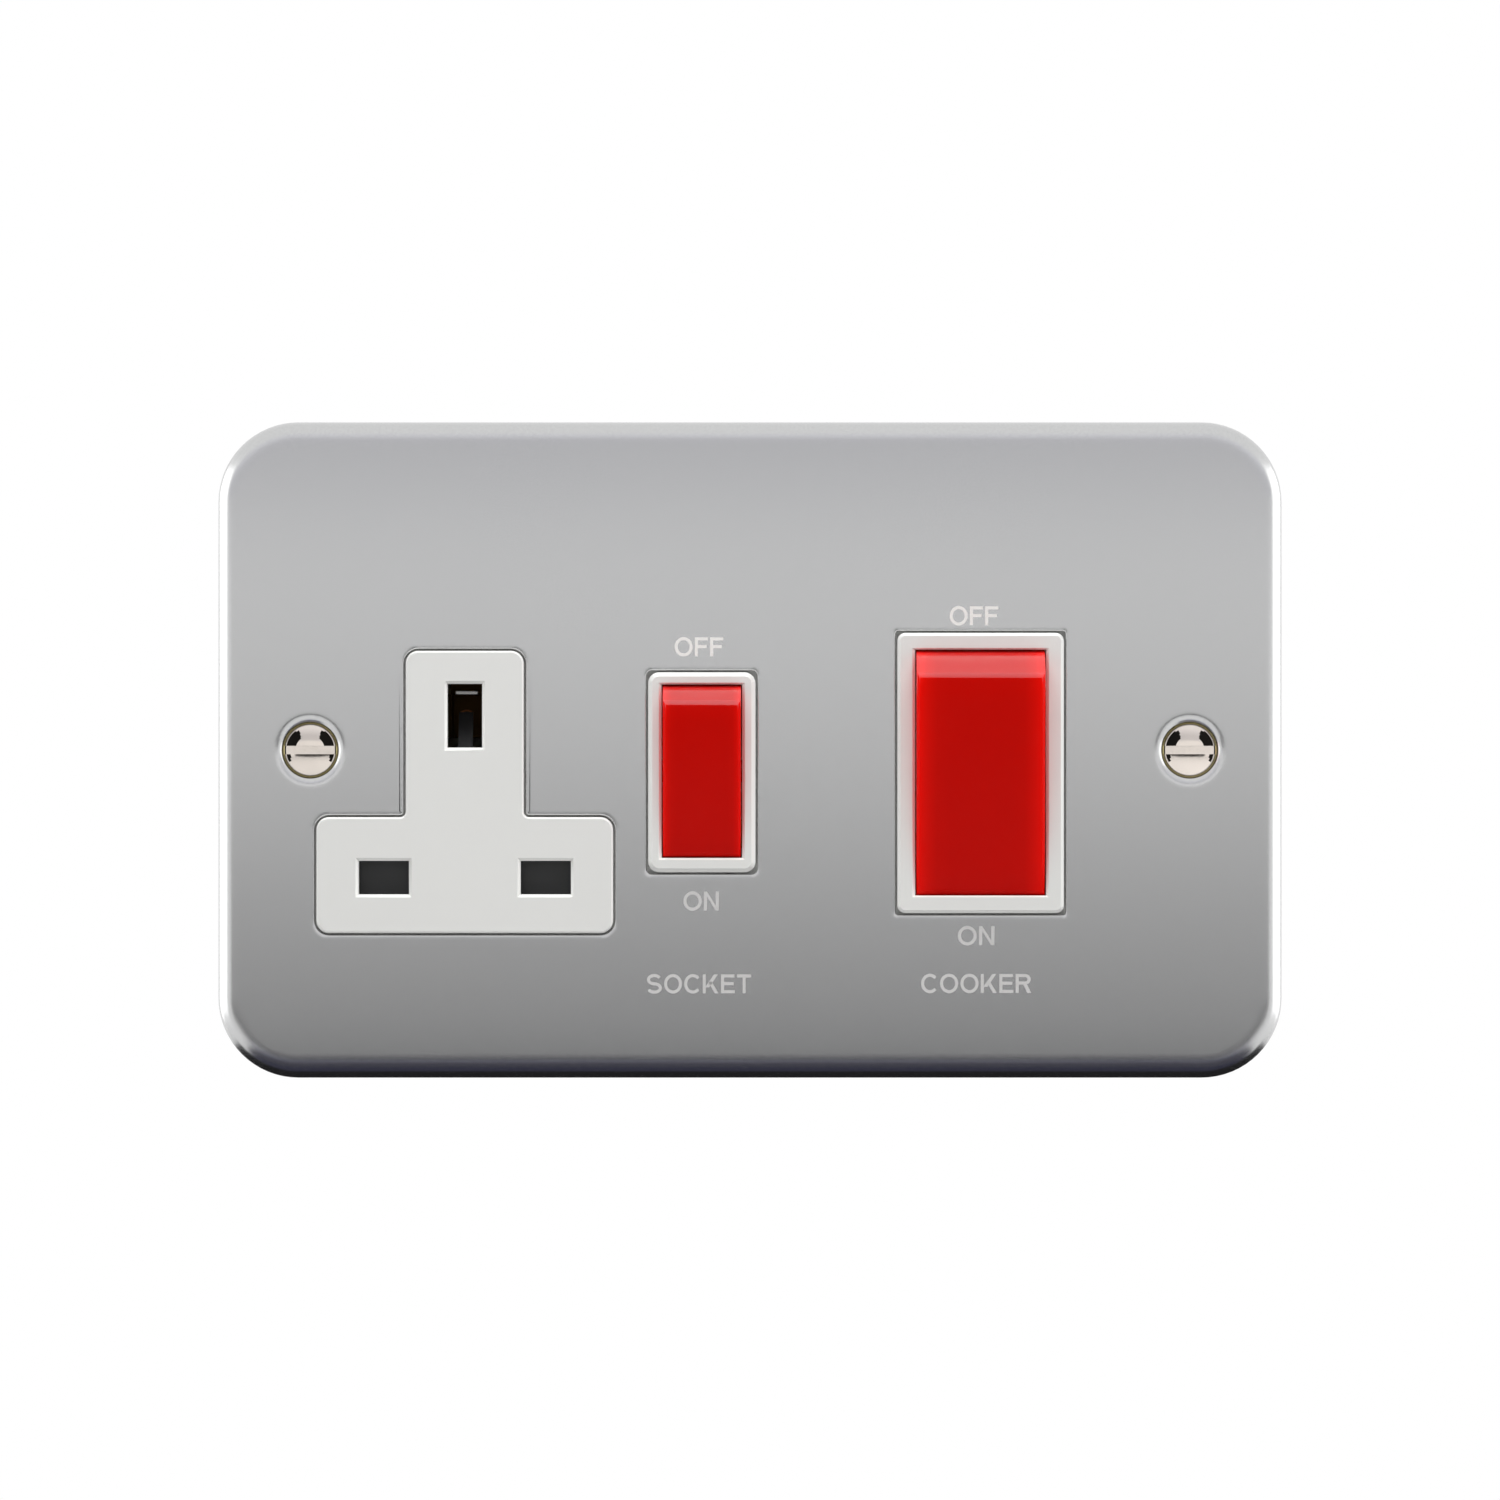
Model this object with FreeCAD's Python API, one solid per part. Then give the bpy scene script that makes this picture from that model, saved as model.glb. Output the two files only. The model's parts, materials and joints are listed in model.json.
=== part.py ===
# Cooker control unit: a switched three-pin socket and a two-pole cooker switch on one metal plate.
# X runs to the right, Z up and +Y into the wall. Y = 0 is the wall plane, where the plate's rim rests.
# The hardest feature is the socket moulding with its T-shaped face, pin tunnels, rocker well and bearings.
import FreeCAD, Part
import math
import os

V = FreeCAD.Vector

# Front plate
PLATE_WIDTH = 146.0
PLATE_HEIGHT = 90.0
PLATE_DEPTH = 5.0
PLATE_CORNER = 11.0
PLATE_ROLL = 3.0
SHEET = 1.2
FIXING_PITCH = 120.6
APERTURE_GAP = 0.25

# Fixing screws and their pressed conical dimples
FIXING_HEAD = 7.8
FIXING_SHANK = 3.5
FIXING_LENGTH = 30.0
FIXING_DOME = 0.95
FIXING_CROWN = 0.55
SLOT_WIDTH = 1.15
SLOT_DEPTH = 1.3
DIMPLE_WIDTH = 10.1
FIXING_HOLE_GAP = 0.4

# Housings
WALL = 1.8
FLANGE = 2.2
PARTING_DEPTH = 4.0
HOUSING_HEIGHT = 63.0
HOUSING_CORNER = 2.0
SOCKET_LEFT = -62.0
SOCKET_RIGHT = 3.4
SOCKET_REAR = 21.0
LUG_EDGE = -53.5
LUG_HALF_HEIGHT = 7.8
SWITCH_LEFT = 5.0
SWITCH_RIGHT = 53.5
SWITCH_REAR = 27.0

# T-shaped socket face and its pin slots
T_CENTRE = -39.1
T_ARM_WIDTH = 40.7
T_ARM_LOW = -25.1
T_ARM_HIGH = -9.2
T_STEM_WIDTH = 16.2
T_STEM_HIGH = 13.6
T_OUTER_CORNER = 1.75
T_INNER_CORNER = 0.75
T_PROUD = 0.4
FACE_WALL = 2.2
PIN_PITCH = 22.2
EARTH_SLOT = (4.75, 8.75)
LINE_SLOT = (6.9, 4.6)
LINE_SLOT_HEIGHT = -17.5
SLOT_LEAD = 0.4
TUNNEL_WALL = 1.5

# Small rocker of the socket
SMALL_CENTRE = -6.6
SMALL_BEZEL = (14.7, 27.4)
SMALL_BEZEL_LIFT = -3.06
SMALL_BEZEL_CORNER = 1.5
SMALL_BEZEL_BEVEL = 0.55
SMALL_OPENING_WIDTH = 11.0
SMALL_PIVOT = (-1.0, -2.9)
SMALL_END_RADIUS = 12.45
SMALL_REACH = 6.55
SMALL_PLUNGER_LENGTH = 10.4

# Large rocker of the cooker switch
LARGE_CENTRE = 31.6
LARGE_BEZEL = (22.8, 38.4)
LARGE_BEZEL_LIFT = -3.15
LARGE_BEZEL_CORNER = 1.1
LARGE_BEZEL_BEVEL = 0.4
LARGE_OPENING_WIDTH = 17.9
LARGE_PIVOT = (1.8, -3.1)
LARGE_END_RADIUS = 18.1
LARGE_REACH = 10.0
LARGE_PLUNGER_LENGTH = 10.9
POLE_OFFSET = 5.2
POLE_WALL = 1.2
POLE_WALL_REACH = 3.0

# Welded lugs at the back of the plate and the spring clips pressed on them
LUG_WIDTH = 4.0
LUG_THICKNESS = 1.0
LUG_PAST_CLIP = 1.0
LUG_GAP = 0.15
STRAP_WIDTH = 6.0
STRAP_FOOT = 2.4
STRAP_RISE = 4.2
STRAP_TAIL = 2.0
EARTH_NECK = 5.0
EARTH_SHOULDER = 4.0
CLIP_WIDTH = 7.0
CLIP_HEIGHT = 5.0
CLIP_THICKNESS = 0.6
SOCKET_LUGS = [(-50.0, 24.0), (SMALL_CENTRE, -26.0)]
EARTH_LUG = (-24.6, 24.0)
SWITCH_LUGS = [(10.8, -26.8), (47.7, 26.8)]

# Both rockers
BEZEL_PROUD = 0.9
BEZEL_INNER_EDGE = 0.4
ROCKER_SIDE_GAP = 0.15
ROCKER_END_GAP = 0.26
ROCKER_WALL = 1.2
ROCKER_FACE_WALL = 1.8
ROCKER_CROWN = 0.4
ROCKER_SKIRT = 0.6
ROCKER_EDGE = 0.4
ROCKER_TILT = 9.0
WELL_WALL = 1.3
TRUNNION_RADIUS = 1.5
TRUNNION_LENGTH = 1.7
TRUNNION_GAP = 0.08
TRUNNION_END_GAP = 0.1
CHEEK = (3.0, 1.95, 3.0)
BEARING_END_WALL = 0.5
BEARING_HALF_HEIGHT = 3.6
BEARING_PAST_AXIS = 2.8
KEEPER_GAP = 0.1
KEEPER_TIP = 2.7
KEEPER_ROOT = 7.0
KEEPER_WAIST_GAP = 0.4
KEEPER_SIDE_ROOM = 0.3

# Plungers and their springs
PLUNGER_SIDE = 3.4
PLUNGER_GAP = 0.1
PLUNGER_HEAD = 6.4
PLUNGER_NOSE = 1.1
PLUNGER_TIP = 1.0
BOSS_HALF = 2.8
BOSS_SHORT = 2.3
SPRING_ROOM = 6.6
SPRING_WIRE = 0.6
SPRING_END_GAP = 0.1
SPRING_RADIUS = 1.25
SPRING_TURNS = 4
COIL_STEPS = 6

# See-saw contacts
SMALL_SEESAW = {"width": 4.4, "half": 7.0, "thick": 1.0, "tilt": 6.0, "tip": 5.5, "tip_half": 1.2}
LARGE_SEESAW = {"width": 4.4, "half": 10.0, "thick": 1.2, "tilt": 5.5, "tip": 8.0, "tip_half": 1.6}
SMALL_FULCRUM_DEPTH = 10.3
LARGE_FULCRUM_DEPTH = 13.5
TIP_HEIGHT = 0.8
TIP_CLEARANCE = 0.12
EAR_REACH = 1.2
EAR_HALF_HEIGHT = 0.8
EAR_GAP = 0.15
CRADLE_SIDE_GAP = 0.2
CRADLE_EAR = 0.9
CRADLE_EAR_FRONT = 1.2
SADDLE_HALF = 2.6
PAD_MARGIN = 1.5
TIP_SEAT_MARGIN = 0.6

# Brass strip and the pin contacts
STRIP = 1.0
LEAF = 0.8
LINE_PIN = (6.35, 4.0)
EARTH_PIN = (4.0, 8.0)
LEAF_FLARE = 1.2
LEAF_MOUTH = 2.2
LEAF_FLARE_INSIDE = 1.6
LEAF_FLARE_OUTSIDE = 1.9
LINE_LEAF_WIDTH = 5.0
EARTH_LEAF_WIDTH = 6.0
ARM_WIDTH = 4.0
TAIL_BEND = 2.0
TAIL_SLOPE = 2.5
PIN_GRIP_ROOM = 0.1
PIN_LINE_TIP = 12.3
PIN_EARTH_TIP = 17.3
PIN_TIP_ROOM = 0.5

# Terminals
TERMINAL = (9.5, 9.0, 10.0)
TERMINAL_TUNNEL = 3.1
TERMINAL_OFFSET = 10.0
TERMINAL_HEIGHT = 20.5
TERMINAL_SCREW = 2.4
TERMINAL_SCREW_PROUD = 3.0
EARTH_SCREW_PROUD = 1.6
EARTH_TERMINAL = (14.0, 8.5, 10.0)
EARTH_TUNNEL = 2.4
EARTH_TUNNEL_OFFSET = 3.5
EARTH_SCREW = 2.0
ENTRY_ROOM = 1.2
SCREW_WINDOW_ROOM = 1.4
SCREW_TIP_GAP = 0.3
CLAMP_SLOT = 0.9
THREAD_GAP = 0.05
CLAMP_SLOT_DEPTH = 1.1

# Hooks that clip the rear housings into the front mouldings
HOOK_WIDTH = 6.0
HOOK_THICKNESS = 1.2
HOOK_REACH = 3.6
HOOK_BARB = 1.0
HOOK_BARB_START = 1.0
HOOK_BARB_END = 1.4
HOOK_ROOT = 4.0
HOOK_GAP = 0.2
SOCKET_HOOKS = [-46.0, -14.0]
SWITCH_HOOKS = [14.0, 45.0]

# Shutter and its spring
SHUTTER_THICKNESS = 1.8
SHUTTER_FRONT_GAP = 0.4
SHUTTER_OVERLAP = 0.9
SHUTTER_STEM = 8.8
SHUTTER_WINDOW = 5.0
WINDOW_LOW = -19.6
WINDOW_HIGH = -4.4
SPRING_POST_HIGH = -17.4
SPRING_POST_WIDTH = 3.2
SPRING_SINK = 0.5
SHUTTER_SPRING_RADIUS = 1.5
SHUTTER_SPRING_WIRE = 0.5
SHUTTER_SPRING_TURNS = 6
TONGUE_WIDTH = 2.0
TONGUE_HIGH = 5.2
TONGUE_DEPTH = 4.8
TONGUE_TOE = 0.8
TONGUE_HEEL = 1.5
TONGUE_ROOT = 2.0
TONGUE_ROOT_GAP = 0.1
WING_BELOW_SLOT = 1.2
WING_ABOVE_SLOT = 0.5
RAIL = 1.4
RAIL_GAP = 0.3
BARRIER = 1.4
BARRIER_OFFSET = 6.45
BARRIER_SPAN = (-24.5, -7.0)
PAD_HALF = 2.4

# Rests that hold the strips from the floor of the rear housings
REST_WIDTH = 4.6
SMALL_REST = (4.3, 7.3)
REST_BELOW_FULCRUM = 1.5
REST_GAP = 1.2
POLE_RESTS = [(7.1, 11.1), (-8.4, -4.4)]

# Links
LINK_HEIGHT = 4.0
LIVE_LINK_GAP = 1.9
NEUTRAL_LINK_LOW = -29.5
NEUTRAL_LINK_HEIGHT = 3.0
LINK_SLOT_ROOM = 0.8
LINK_LAP = 3.0
LINK_END = 2.0
LINK_BEND_GAP = 2.0
LINK_BEND = 0.4

# Places worked out from the sizes above
live_link_low = TERMINAL[2] / 2 - TERMINAL_HEIGHT + LIVE_LINK_GAP
front_y = -PLATE_DEPTH
inner_y = front_y + SHEET
flange_y = inner_y + FLANGE
t_face_y = front_y - T_PROUD
bezel_y = front_y - BEZEL_PROUD
fixing_x = FIXING_PITCH / 2
half_height = HOUSING_HEIGHT / 2
socket_floor = SOCKET_REAR - WALL
switch_floor = SWITCH_REAR - WALL
earth_slot_z = LINE_SLOT_HEIGHT + PIN_PITCH
line_slot_xs = [T_CENTRE - PIN_PITCH / 2, T_CENTRE + PIN_PITCH / 2]
neutral_x = line_slot_xs[0]
live_x = line_slot_xs[1]
shutter_front = flange_y + SHUTTER_FRONT_GAP
shutter_rear = shutter_front + SHUTTER_THICKNESS
guard_y = shutter_rear + RAIL_GAP
head_rim_y = front_y + (DIMPLE_WIDTH - FIXING_HEAD) / 2
hook_end = PARTING_DEPTH - HOOK_REACH
hook_window = (hook_end + HOOK_GAP, hook_end + HOOK_BARB_END + HOOK_GAP)
line_strap_y = PIN_LINE_TIP + PIN_TIP_ROOM
earth_strap_y = PIN_EARTH_TIP + PIN_TIP_ROOM
pole_xs = [LARGE_CENTRE - POLE_OFFSET, LARGE_CENTRE + POLE_OFFSET]
terminal_xs = [LARGE_CENTRE - TERMINAL_OFFSET, LARGE_CENTRE + TERMINAL_OFFSET]


# Plain solids between two corners, and round ones along an axis
def block(x, y, z):
    return Part.makeBox(x[1] - x[0], y[1] - y[0], z[1] - z[0], V(x[0], y[0], z[0]))


def centred(x, width, y, z):
    return block((x - width / 2, x + width / 2), y, z)


def rod_x(radius, x, y, z):
    return Part.makeCylinder(radius, x[1] - x[0], V(x[0], y, z), V(1, 0, 0))


def rod_y(radius, x, y, z):
    return Part.makeCylinder(radius, y[1] - y[0], V(x, y[0], z), V(0, 1, 0))


def rod_z(radius, x, y, z):
    return Part.makeCylinder(radius, z[1] - z[0], V(x, y, z[0]), V(0, 0, 1))


# A closed outline in the plate's plane, each corner rounded by its own radius
def rounded_wire(corners):
    points = [V(x, 0, z) for x, z, radius in corners]
    if corners[0][2] == 0:
        return Part.makePolygon(points + points[:1])
    edges = []
    ends = []
    for i, (x, z, radius) in enumerate(corners):
        before = (points[i - 1] - points[i]).normalize()
        after = (points[(i + 1) % len(points)] - points[i]).normalize()
        half_turn = before.getAngle(after) / 2
        back = radius / math.tan(half_turn)
        middle = (before + after).normalize() * (radius / math.sin(half_turn) - radius)
        start = points[i] + before * back
        end = points[i] + after * back
        ends.append((start, end))
        edges.append(Part.Arc(start, points[i] + middle, end).toShape())
    for i, (start, end) in enumerate(ends):
        following = ends[(i + 1) % len(ends)][0]
        edges.append(Part.makeLine(end, following))
    return Part.Wire(Part.__sortEdges__(edges))


def extruded(wire, y):
    face = Part.Face(wire)
    face.translate(V(0, y[0], 0))
    return face.extrude(V(0, y[1] - y[0], 0))


def rounded_slab(x, z, width, height, radius, y):
    signs = ((-1, -1), (1, -1), (1, 1), (-1, 1))
    corners = [(x + sx * width / 2, z + sz * height / 2, radius) for sx, sz in signs]
    return extruded(rounded_wire(corners), y)


# A flat blank cut to straight edges, seen from the front, and a bent strip seen from its side or from above
def blank(points, y):
    wire = Part.makePolygon([V(x, y[0], z) for x, z in points + points[:1]])
    return Part.Face(wire).extrude(V(0, y[1] - y[0], 0))


def side_strip(points, x, width):
    wire = Part.makePolygon([V(x - width / 2, y, z) for y, z in points + points[:1]])
    return Part.Face(wire).extrude(V(width, 0, 0))


def top_strip(points, z):
    wire = Part.makePolygon([V(x, y, z[0]) for x, y in points + points[:1]])
    return Part.Face(wire).extrude(V(0, 0, z[1] - z[0]))


def joined(shapes):
    whole = shapes[0].multiFuse(shapes[1:]) if len(shapes) > 1 else shapes[0]
    return whole.removeSplitter()


def bevelled_edges(solid, size, wanted):
    return solid.makeChamfer(size, [e for e in solid.Edges if wanted(e)])


def lies_at(edge, y):
    box = edge.BoundBox
    return abs(box.YMin - y) < 0.01 and abs(box.YMax - y) < 0.01


def save(name, shape):
    solids = shape.Solids
    whole = solids[0] if len(solids) == 1 else Part.makeCompound(solids)
    whole.exportStep("parts/" + name + ".step")


# Outlines that several pieces share
def t_wire(grow):
    arm = T_ARM_WIDTH / 2 + grow
    stem = T_STEM_WIDTH / 2 + grow
    low = T_ARM_LOW - grow
    high = T_ARM_HIGH + grow
    top = T_STEM_HIGH + grow
    sharp = grow < -T_INNER_CORNER
    outer = 0 if sharp else T_OUTER_CORNER + grow
    inner = 0 if sharp else T_INNER_CORNER - grow
    right = [(arm, low, outer), (arm, high, outer), (stem, high, inner), (stem, top, outer)]
    left = [(-x, z, radius) for x, z, radius in reversed(right)]
    return rounded_wire([(T_CENTRE + x, z, radius) for x, z, radius in right + left])


def socket_wire(inset):
    left = SOCKET_LEFT + inset
    right = SOCKET_RIGHT - inset
    edge = LUG_EDGE + inset
    lug = LUG_HALF_HEIGHT + inset
    top = half_height - inset
    radius = 0 if inset else HOUSING_CORNER
    lower = [(left, -lug), (left, -top), (right, -top)]
    upper = [(right, top), (left, top), (left, lug), (edge, lug), (edge, -lug)]
    return rounded_wire([(x, z, radius) for x, z in lower + upper])


def switch_wire(inset):
    radius = 0 if inset else HOUSING_CORNER
    width = SWITCH_RIGHT - SWITCH_LEFT - 2 * inset
    x = (SWITCH_RIGHT + SWITCH_LEFT) / 2
    z = half_height - inset
    corners = [(x - width / 2, -z), (x + width / 2, -z), (x + width / 2, z), (x - width / 2, z)]
    return rounded_wire([(corner_x, corner_z, radius) for corner_x, corner_z in corners])


# Pressed plate: a tray of one sheet; the bevel lies tangent to the rolled edge
def tray(inset, rear_y):
    width = PLATE_WIDTH - 2 * inset
    height = PLATE_HEIGHT - 2 * inset
    slab = rounded_slab(0, 0, width, height, PLATE_CORNER - inset, (front_y + inset, rear_y))
    bevel = (PLATE_ROLL - inset) * (2 - math.sqrt(2))
    return bevelled_edges(slab, bevel, lambda e: lies_at(e, front_y + inset))


def turned(points, x, z):
    wire = Part.makePolygon([V(x + r, y, z) for r, y in points + points[:1]])
    return Part.Face(wire).revolve(V(x, 0, z), V(0, 1, 0), 360)


def make_front_plate():
    plate = tray(0, 0).cut(tray(SHEET, 1.0))
    cutters = [extruded(t_wire(APERTURE_GAP), (front_y - 1, inner_y + 1))]
    bezels = [
        (SMALL_CENTRE, SMALL_BEZEL_LIFT, SMALL_BEZEL, SMALL_BEZEL_CORNER),
        (LARGE_CENTRE, LARGE_BEZEL_LIFT, LARGE_BEZEL, LARGE_BEZEL_CORNER),
    ]
    for x, z, (width, height), corner in bezels:
        gap = 2 * APERTURE_GAP
        cutters.append(rounded_slab(x, z, width + gap, height + gap, corner, (front_y - 1, inner_y + 1)))
    plate = plate.cut(Part.makeCompound(cutters))
    lip = DIMPLE_WIDTH / 2
    hole = FIXING_SHANK / 2 + FIXING_HOLE_GAP
    cup_end = front_y + lip - hole
    for x in (-fixing_x, fixing_x):
        plate = plate.fuse(rod_y(lip, x, (inner_y, cup_end), 0))
        plate = plate.cut(turned([(0, front_y), (lip, front_y), (hole, cup_end), (0, cup_end)], x, 0))
    lugs = [lug(x, z, flange_y) for x, z in SOCKET_LUGS + SWITCH_LUGS] + [lug(*EARTH_LUG, flange_y + LEAF)]
    return joined([plate] + lugs)


def lug(x, z, seat):
    end = seat + CLIP_THICKNESS + LUG_PAST_CLIP
    return centred(x, LUG_WIDTH, (inner_y, end), (z - LUG_THICKNESS / 2, z + LUG_THICKNESS / 2))


def lug_slot(x, z, y, gap):
    half = LUG_THICKNESS / 2 + gap
    return centred(x, LUG_WIDTH + 2 * gap, y, (z - half, z + half))


def make_retaining_clips():
    clips = []
    seats = [(x, z, flange_y) for x, z in SOCKET_LUGS + SWITCH_LUGS] + [(*EARTH_LUG, flange_y + LEAF)]
    for x, z, y in seats:
        plate = centred(x, CLIP_WIDTH, (y, y + CLIP_THICKNESS), (z - CLIP_HEIGHT / 2, z + CLIP_HEIGHT / 2))
        clips.append(plate.cut(lug_slot(x, z, (y - 1, y + 2), 0)))
    return Part.makeCompound(clips)


# Fixing screws: raised countersunk heads, each with a level slot
def make_fixing_screws():
    head = FIXING_HEAD / 2
    shank = FIXING_SHANK / 2
    rim_y = head_rim_y
    top_y = rim_y - FIXING_DOME
    neck_y = rim_y + head - shank
    end_y = rim_y + FIXING_LENGTH
    crown = head * FIXING_CROWN
    profile = [(0, top_y), (crown, top_y), (head, rim_y), (shank, neck_y), (shank, end_y), (0, end_y)]
    screws = []
    for x in (-fixing_x, fixing_x):
        slot_y = (top_y - 1, top_y + SLOT_DEPTH)
        slot = centred(x, FIXING_HEAD + 2, slot_y, (-SLOT_WIDTH / 2, SLOT_WIDTH / 2))
        screws.append(turned(profile, x, 0).cut(slot))
    return Part.makeCompound(screws)


# Rockers: hollow mouldings whose ends are arcs about the trunnions
def rocker_section(end_radius, reach, skirt, crown):
    corner = math.sqrt(end_radius ** 2 - reach ** 2)
    foot = math.sqrt(end_radius ** 2 - skirt ** 2)
    swing = math.radians((math.degrees(math.atan2(corner, reach)) + 90) / 2)
    side = V(0, -end_radius * math.cos(swing), end_radius * math.sin(swing))
    mirror = V(0, side.y, -side.z)
    edges = [
        Part.Arc(V(0, -reach, -corner), V(0, -reach - crown, 0), V(0, -reach, corner)).toShape(),
        Part.Arc(V(0, -reach, corner), side, V(0, skirt, foot)).toShape(),
        Part.makeLine(V(0, skirt, foot), V(0, skirt, -foot)),
        Part.Arc(V(0, skirt, -foot), mirror, V(0, -reach, -corner)).toShape(),
    ]
    return Part.Face(Part.Wire(edges))


def tilted(shape, pivot, x, angle):
    placed = shape.copy()
    placed.rotate(V(0, 0, 0), V(1, 0, 0), angle)
    placed.translate(V(x, pivot[0], pivot[1]))
    return placed


def make_rocker(centre, pivot, plunger_length, opening, end_radius, reach, offsets):
    half = opening / 2 - ROCKER_SIDE_GAP
    outer = rocker_section(end_radius, reach, ROCKER_SKIRT, ROCKER_CROWN)
    outer.translate(V(-half, 0, 0))
    shell = outer.extrude(V(2 * half, 0, 0))
    face_limit = -reach + 0.01
    shell = bevelled_edges(shell, ROCKER_EDGE, lambda e: e.BoundBox.YMax < face_limit)
    inner = rocker_section(end_radius - ROCKER_WALL, reach - ROCKER_FACE_WALL, ROCKER_SKIRT + 1, 0.01)
    inner.translate(V(-half + ROCKER_WALL, 0, 0))
    shell = shell.cut(inner.extrude(V(2 * (half - ROCKER_WALL), 0, 0)))
    pieces = [shell]
    boss_end = plunger_length - BOSS_SHORT
    for offset in offsets:
        boss_y = (-reach + ROCKER_FACE_WALL / 2, boss_end)
        pieces.append(centred(offset, 2 * BOSS_HALF, boss_y, (-BOSS_HALF, BOSS_HALF)))
    for side in (-1, 1):
        inside = side * (half - ROCKER_WALL)
        outside = side * half
        cheek_x = (min(inside, outside), max(inside, outside))
        pieces.append(block(cheek_x, (-CHEEK[0], CHEEK[1]), (-CHEEK[2], CHEEK[2])))
        pin_end = side * (half + TRUNNION_LENGTH)
        pin_x = (min(inside, pin_end), max(inside, pin_end))
        pieces.append(rod_x(TRUNNION_RADIUS, pin_x, 0, 0))
    body = joined(pieces)
    hole_start = plunger_length - PLUNGER_HEAD - SPRING_ROOM
    for offset in offsets:
        hole = PLUNGER_SIDE / 2 + PLUNGER_GAP
        body = body.cut(centred(offset, 2 * hole, (hole_start, boss_end + 1), (-hole, hole)))
    return tilted(body, pivot, centre, ROCKER_TILT)


# Square plunger with a roof-shaped nose, and the coil spring behind it
def make_plunger(centre, pivot, length, offset):
    half = PLUNGER_SIDE / 2
    neck = length - PLUNGER_NOSE
    back = length - PLUNGER_HEAD
    tip = PLUNGER_TIP / 2
    points = [(back, -half), (neck, -half), (length, -tip), (length, tip), (neck, half), (back, half)]
    return tilted(side_strip(points, offset, PLUNGER_SIDE), pivot, centre, ROCKER_TILT)


def coil(radius, height, turns, wire):
    half = wire / 2
    corners = [(radius - half, 0), (radius + half, 0), (radius + half, wire), (radius - half, wire)]
    steps = turns * COIL_STEPS
    rings = []
    for step in range(steps + 1):
        angle = 2 * math.pi * step / COIL_STEPS
        rise = (height - wire) * step / steps
        rings.append([V(r * math.cos(angle), r * math.sin(angle), rise + z) for r, z in corners])
    faces = [Part.Face(Part.makePolygon(ring + ring[:1])) for ring in (rings[0], rings[-1])]
    for lower, upper in zip(rings, rings[1:]):
        for i in range(len(corners)):
            j = (i + 1) % len(corners)
            faces.append(Part.Face(Part.makePolygon([lower[i], lower[j], upper[j], lower[i]])))
            faces.append(Part.Face(Part.makePolygon([lower[i], upper[j], upper[i], lower[i]])))
    solid = Part.makeSolid(Part.makeShell(faces))
    solid.fixTolerance(1e-4)
    return solid


def make_plunger_spring(centre, pivot, length, offset):
    spring = coil(SPRING_RADIUS, SPRING_ROOM - 2 * SPRING_END_GAP, SPRING_TURNS, SPRING_WIRE)
    spring.rotate(V(0, 0, 0), V(1, 0, 0), -90)
    spring.translate(V(offset, length - PLUNGER_HEAD - SPRING_ROOM + SPRING_END_GAP, 0))
    return tilted(spring, pivot, centre, ROCKER_TILT)


# See-saw contacts, their silver tips and the cradles that carry them
def make_seesaw(sizes, x, fulcrum):
    half_width = sizes["width"] / 2
    thickness = (-sizes["thick"] / 2, sizes["thick"] / 2)
    strip = block((-half_width, half_width), thickness, (-sizes["half"], sizes["half"]))
    ear = half_width + EAR_REACH
    ears = block((-ear, ear), thickness, (-EAR_HALF_HEIGHT, EAR_HALF_HEIGHT))
    return tilted(joined([strip, ears]), fulcrum, x, -sizes["tilt"])


def make_moving_tip(sizes, x, fulcrum):
    rear = sizes["thick"] / 2
    half = sizes["tip_half"]
    tip = block((-half, half), (rear, rear + TIP_HEIGHT), (sizes["tip"] - half, sizes["tip"] + half))
    return tilted(tip, fulcrum, x, -sizes["tilt"])


def fixed_tip_front(sizes, fulcrum):
    angle = math.radians(sizes["tilt"])
    rear = sizes["thick"] / 2 + TIP_HEIGHT
    edge = sizes["tip"] + sizes["tip_half"]
    return fulcrum[0] + rear * math.cos(angle) + edge * math.sin(angle) + TIP_CLEARANCE


def strip_plane(sizes, fulcrum):
    return fixed_tip_front(sizes, fulcrum) + TIP_HEIGHT


def make_fixed_tip(sizes, x, fulcrum):
    front = fixed_tip_front(sizes, fulcrum)
    half = sizes["tip_half"]
    middle = fulcrum[1] + sizes["tip"]
    return block((x - half, x + half), (front, front + TIP_HEIGHT), (middle - half, middle + half))


def cradle_ears(sizes, x, fulcrum, plane):
    inside = sizes["width"] / 2 + CRADLE_SIDE_GAP
    notch_half = EAR_HALF_HEIGHT + EAR_GAP
    notch_floor = fulcrum[0] + sizes["thick"] / 2 + EAR_GAP
    ears = []
    for side in (-1, 1):
        near = x + side * inside
        far = x + side * (inside + CRADLE_EAR)
        ear_x = (min(near, far), max(near, far))
        ear_y = (fulcrum[0] - CRADLE_EAR_FRONT, plane)
        ear = block(ear_x, ear_y, (fulcrum[1] - SADDLE_HALF, fulcrum[1] + SADDLE_HALF))
        notch = block((ear_x[0] - 1, ear_x[1] + 1), (fulcrum[0] - 3, notch_floor),
                      (fulcrum[1] - notch_half, fulcrum[1] + notch_half))
        ears.append(ear.cut(notch))
    return ears


# Front mouldings
def moulding_shell(wire_of, lugs, hooks):
    flange = extruded(wire_of(0), (inner_y, flange_y))
    hollow = extruded(wire_of(WALL), (flange_y - 1, PARTING_DEPTH + 1))
    skirt = extruded(wire_of(0), (flange_y, PARTING_DEPTH)).cut(hollow)
    cuts = [lug_slot(x, z, (inner_y - 1, flange_y + 1), LUG_GAP) for x, z in lugs]
    for x in hooks:
        for side in (-1, 1):
            wall_z = side * (half_height - WALL / 2)
            cuts.append(centred(x, HOOK_WIDTH + 2 * HOOK_GAP, hook_window, (wall_z - WALL, wall_z + WALL)))
    return [flange, skirt], cuts


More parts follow.
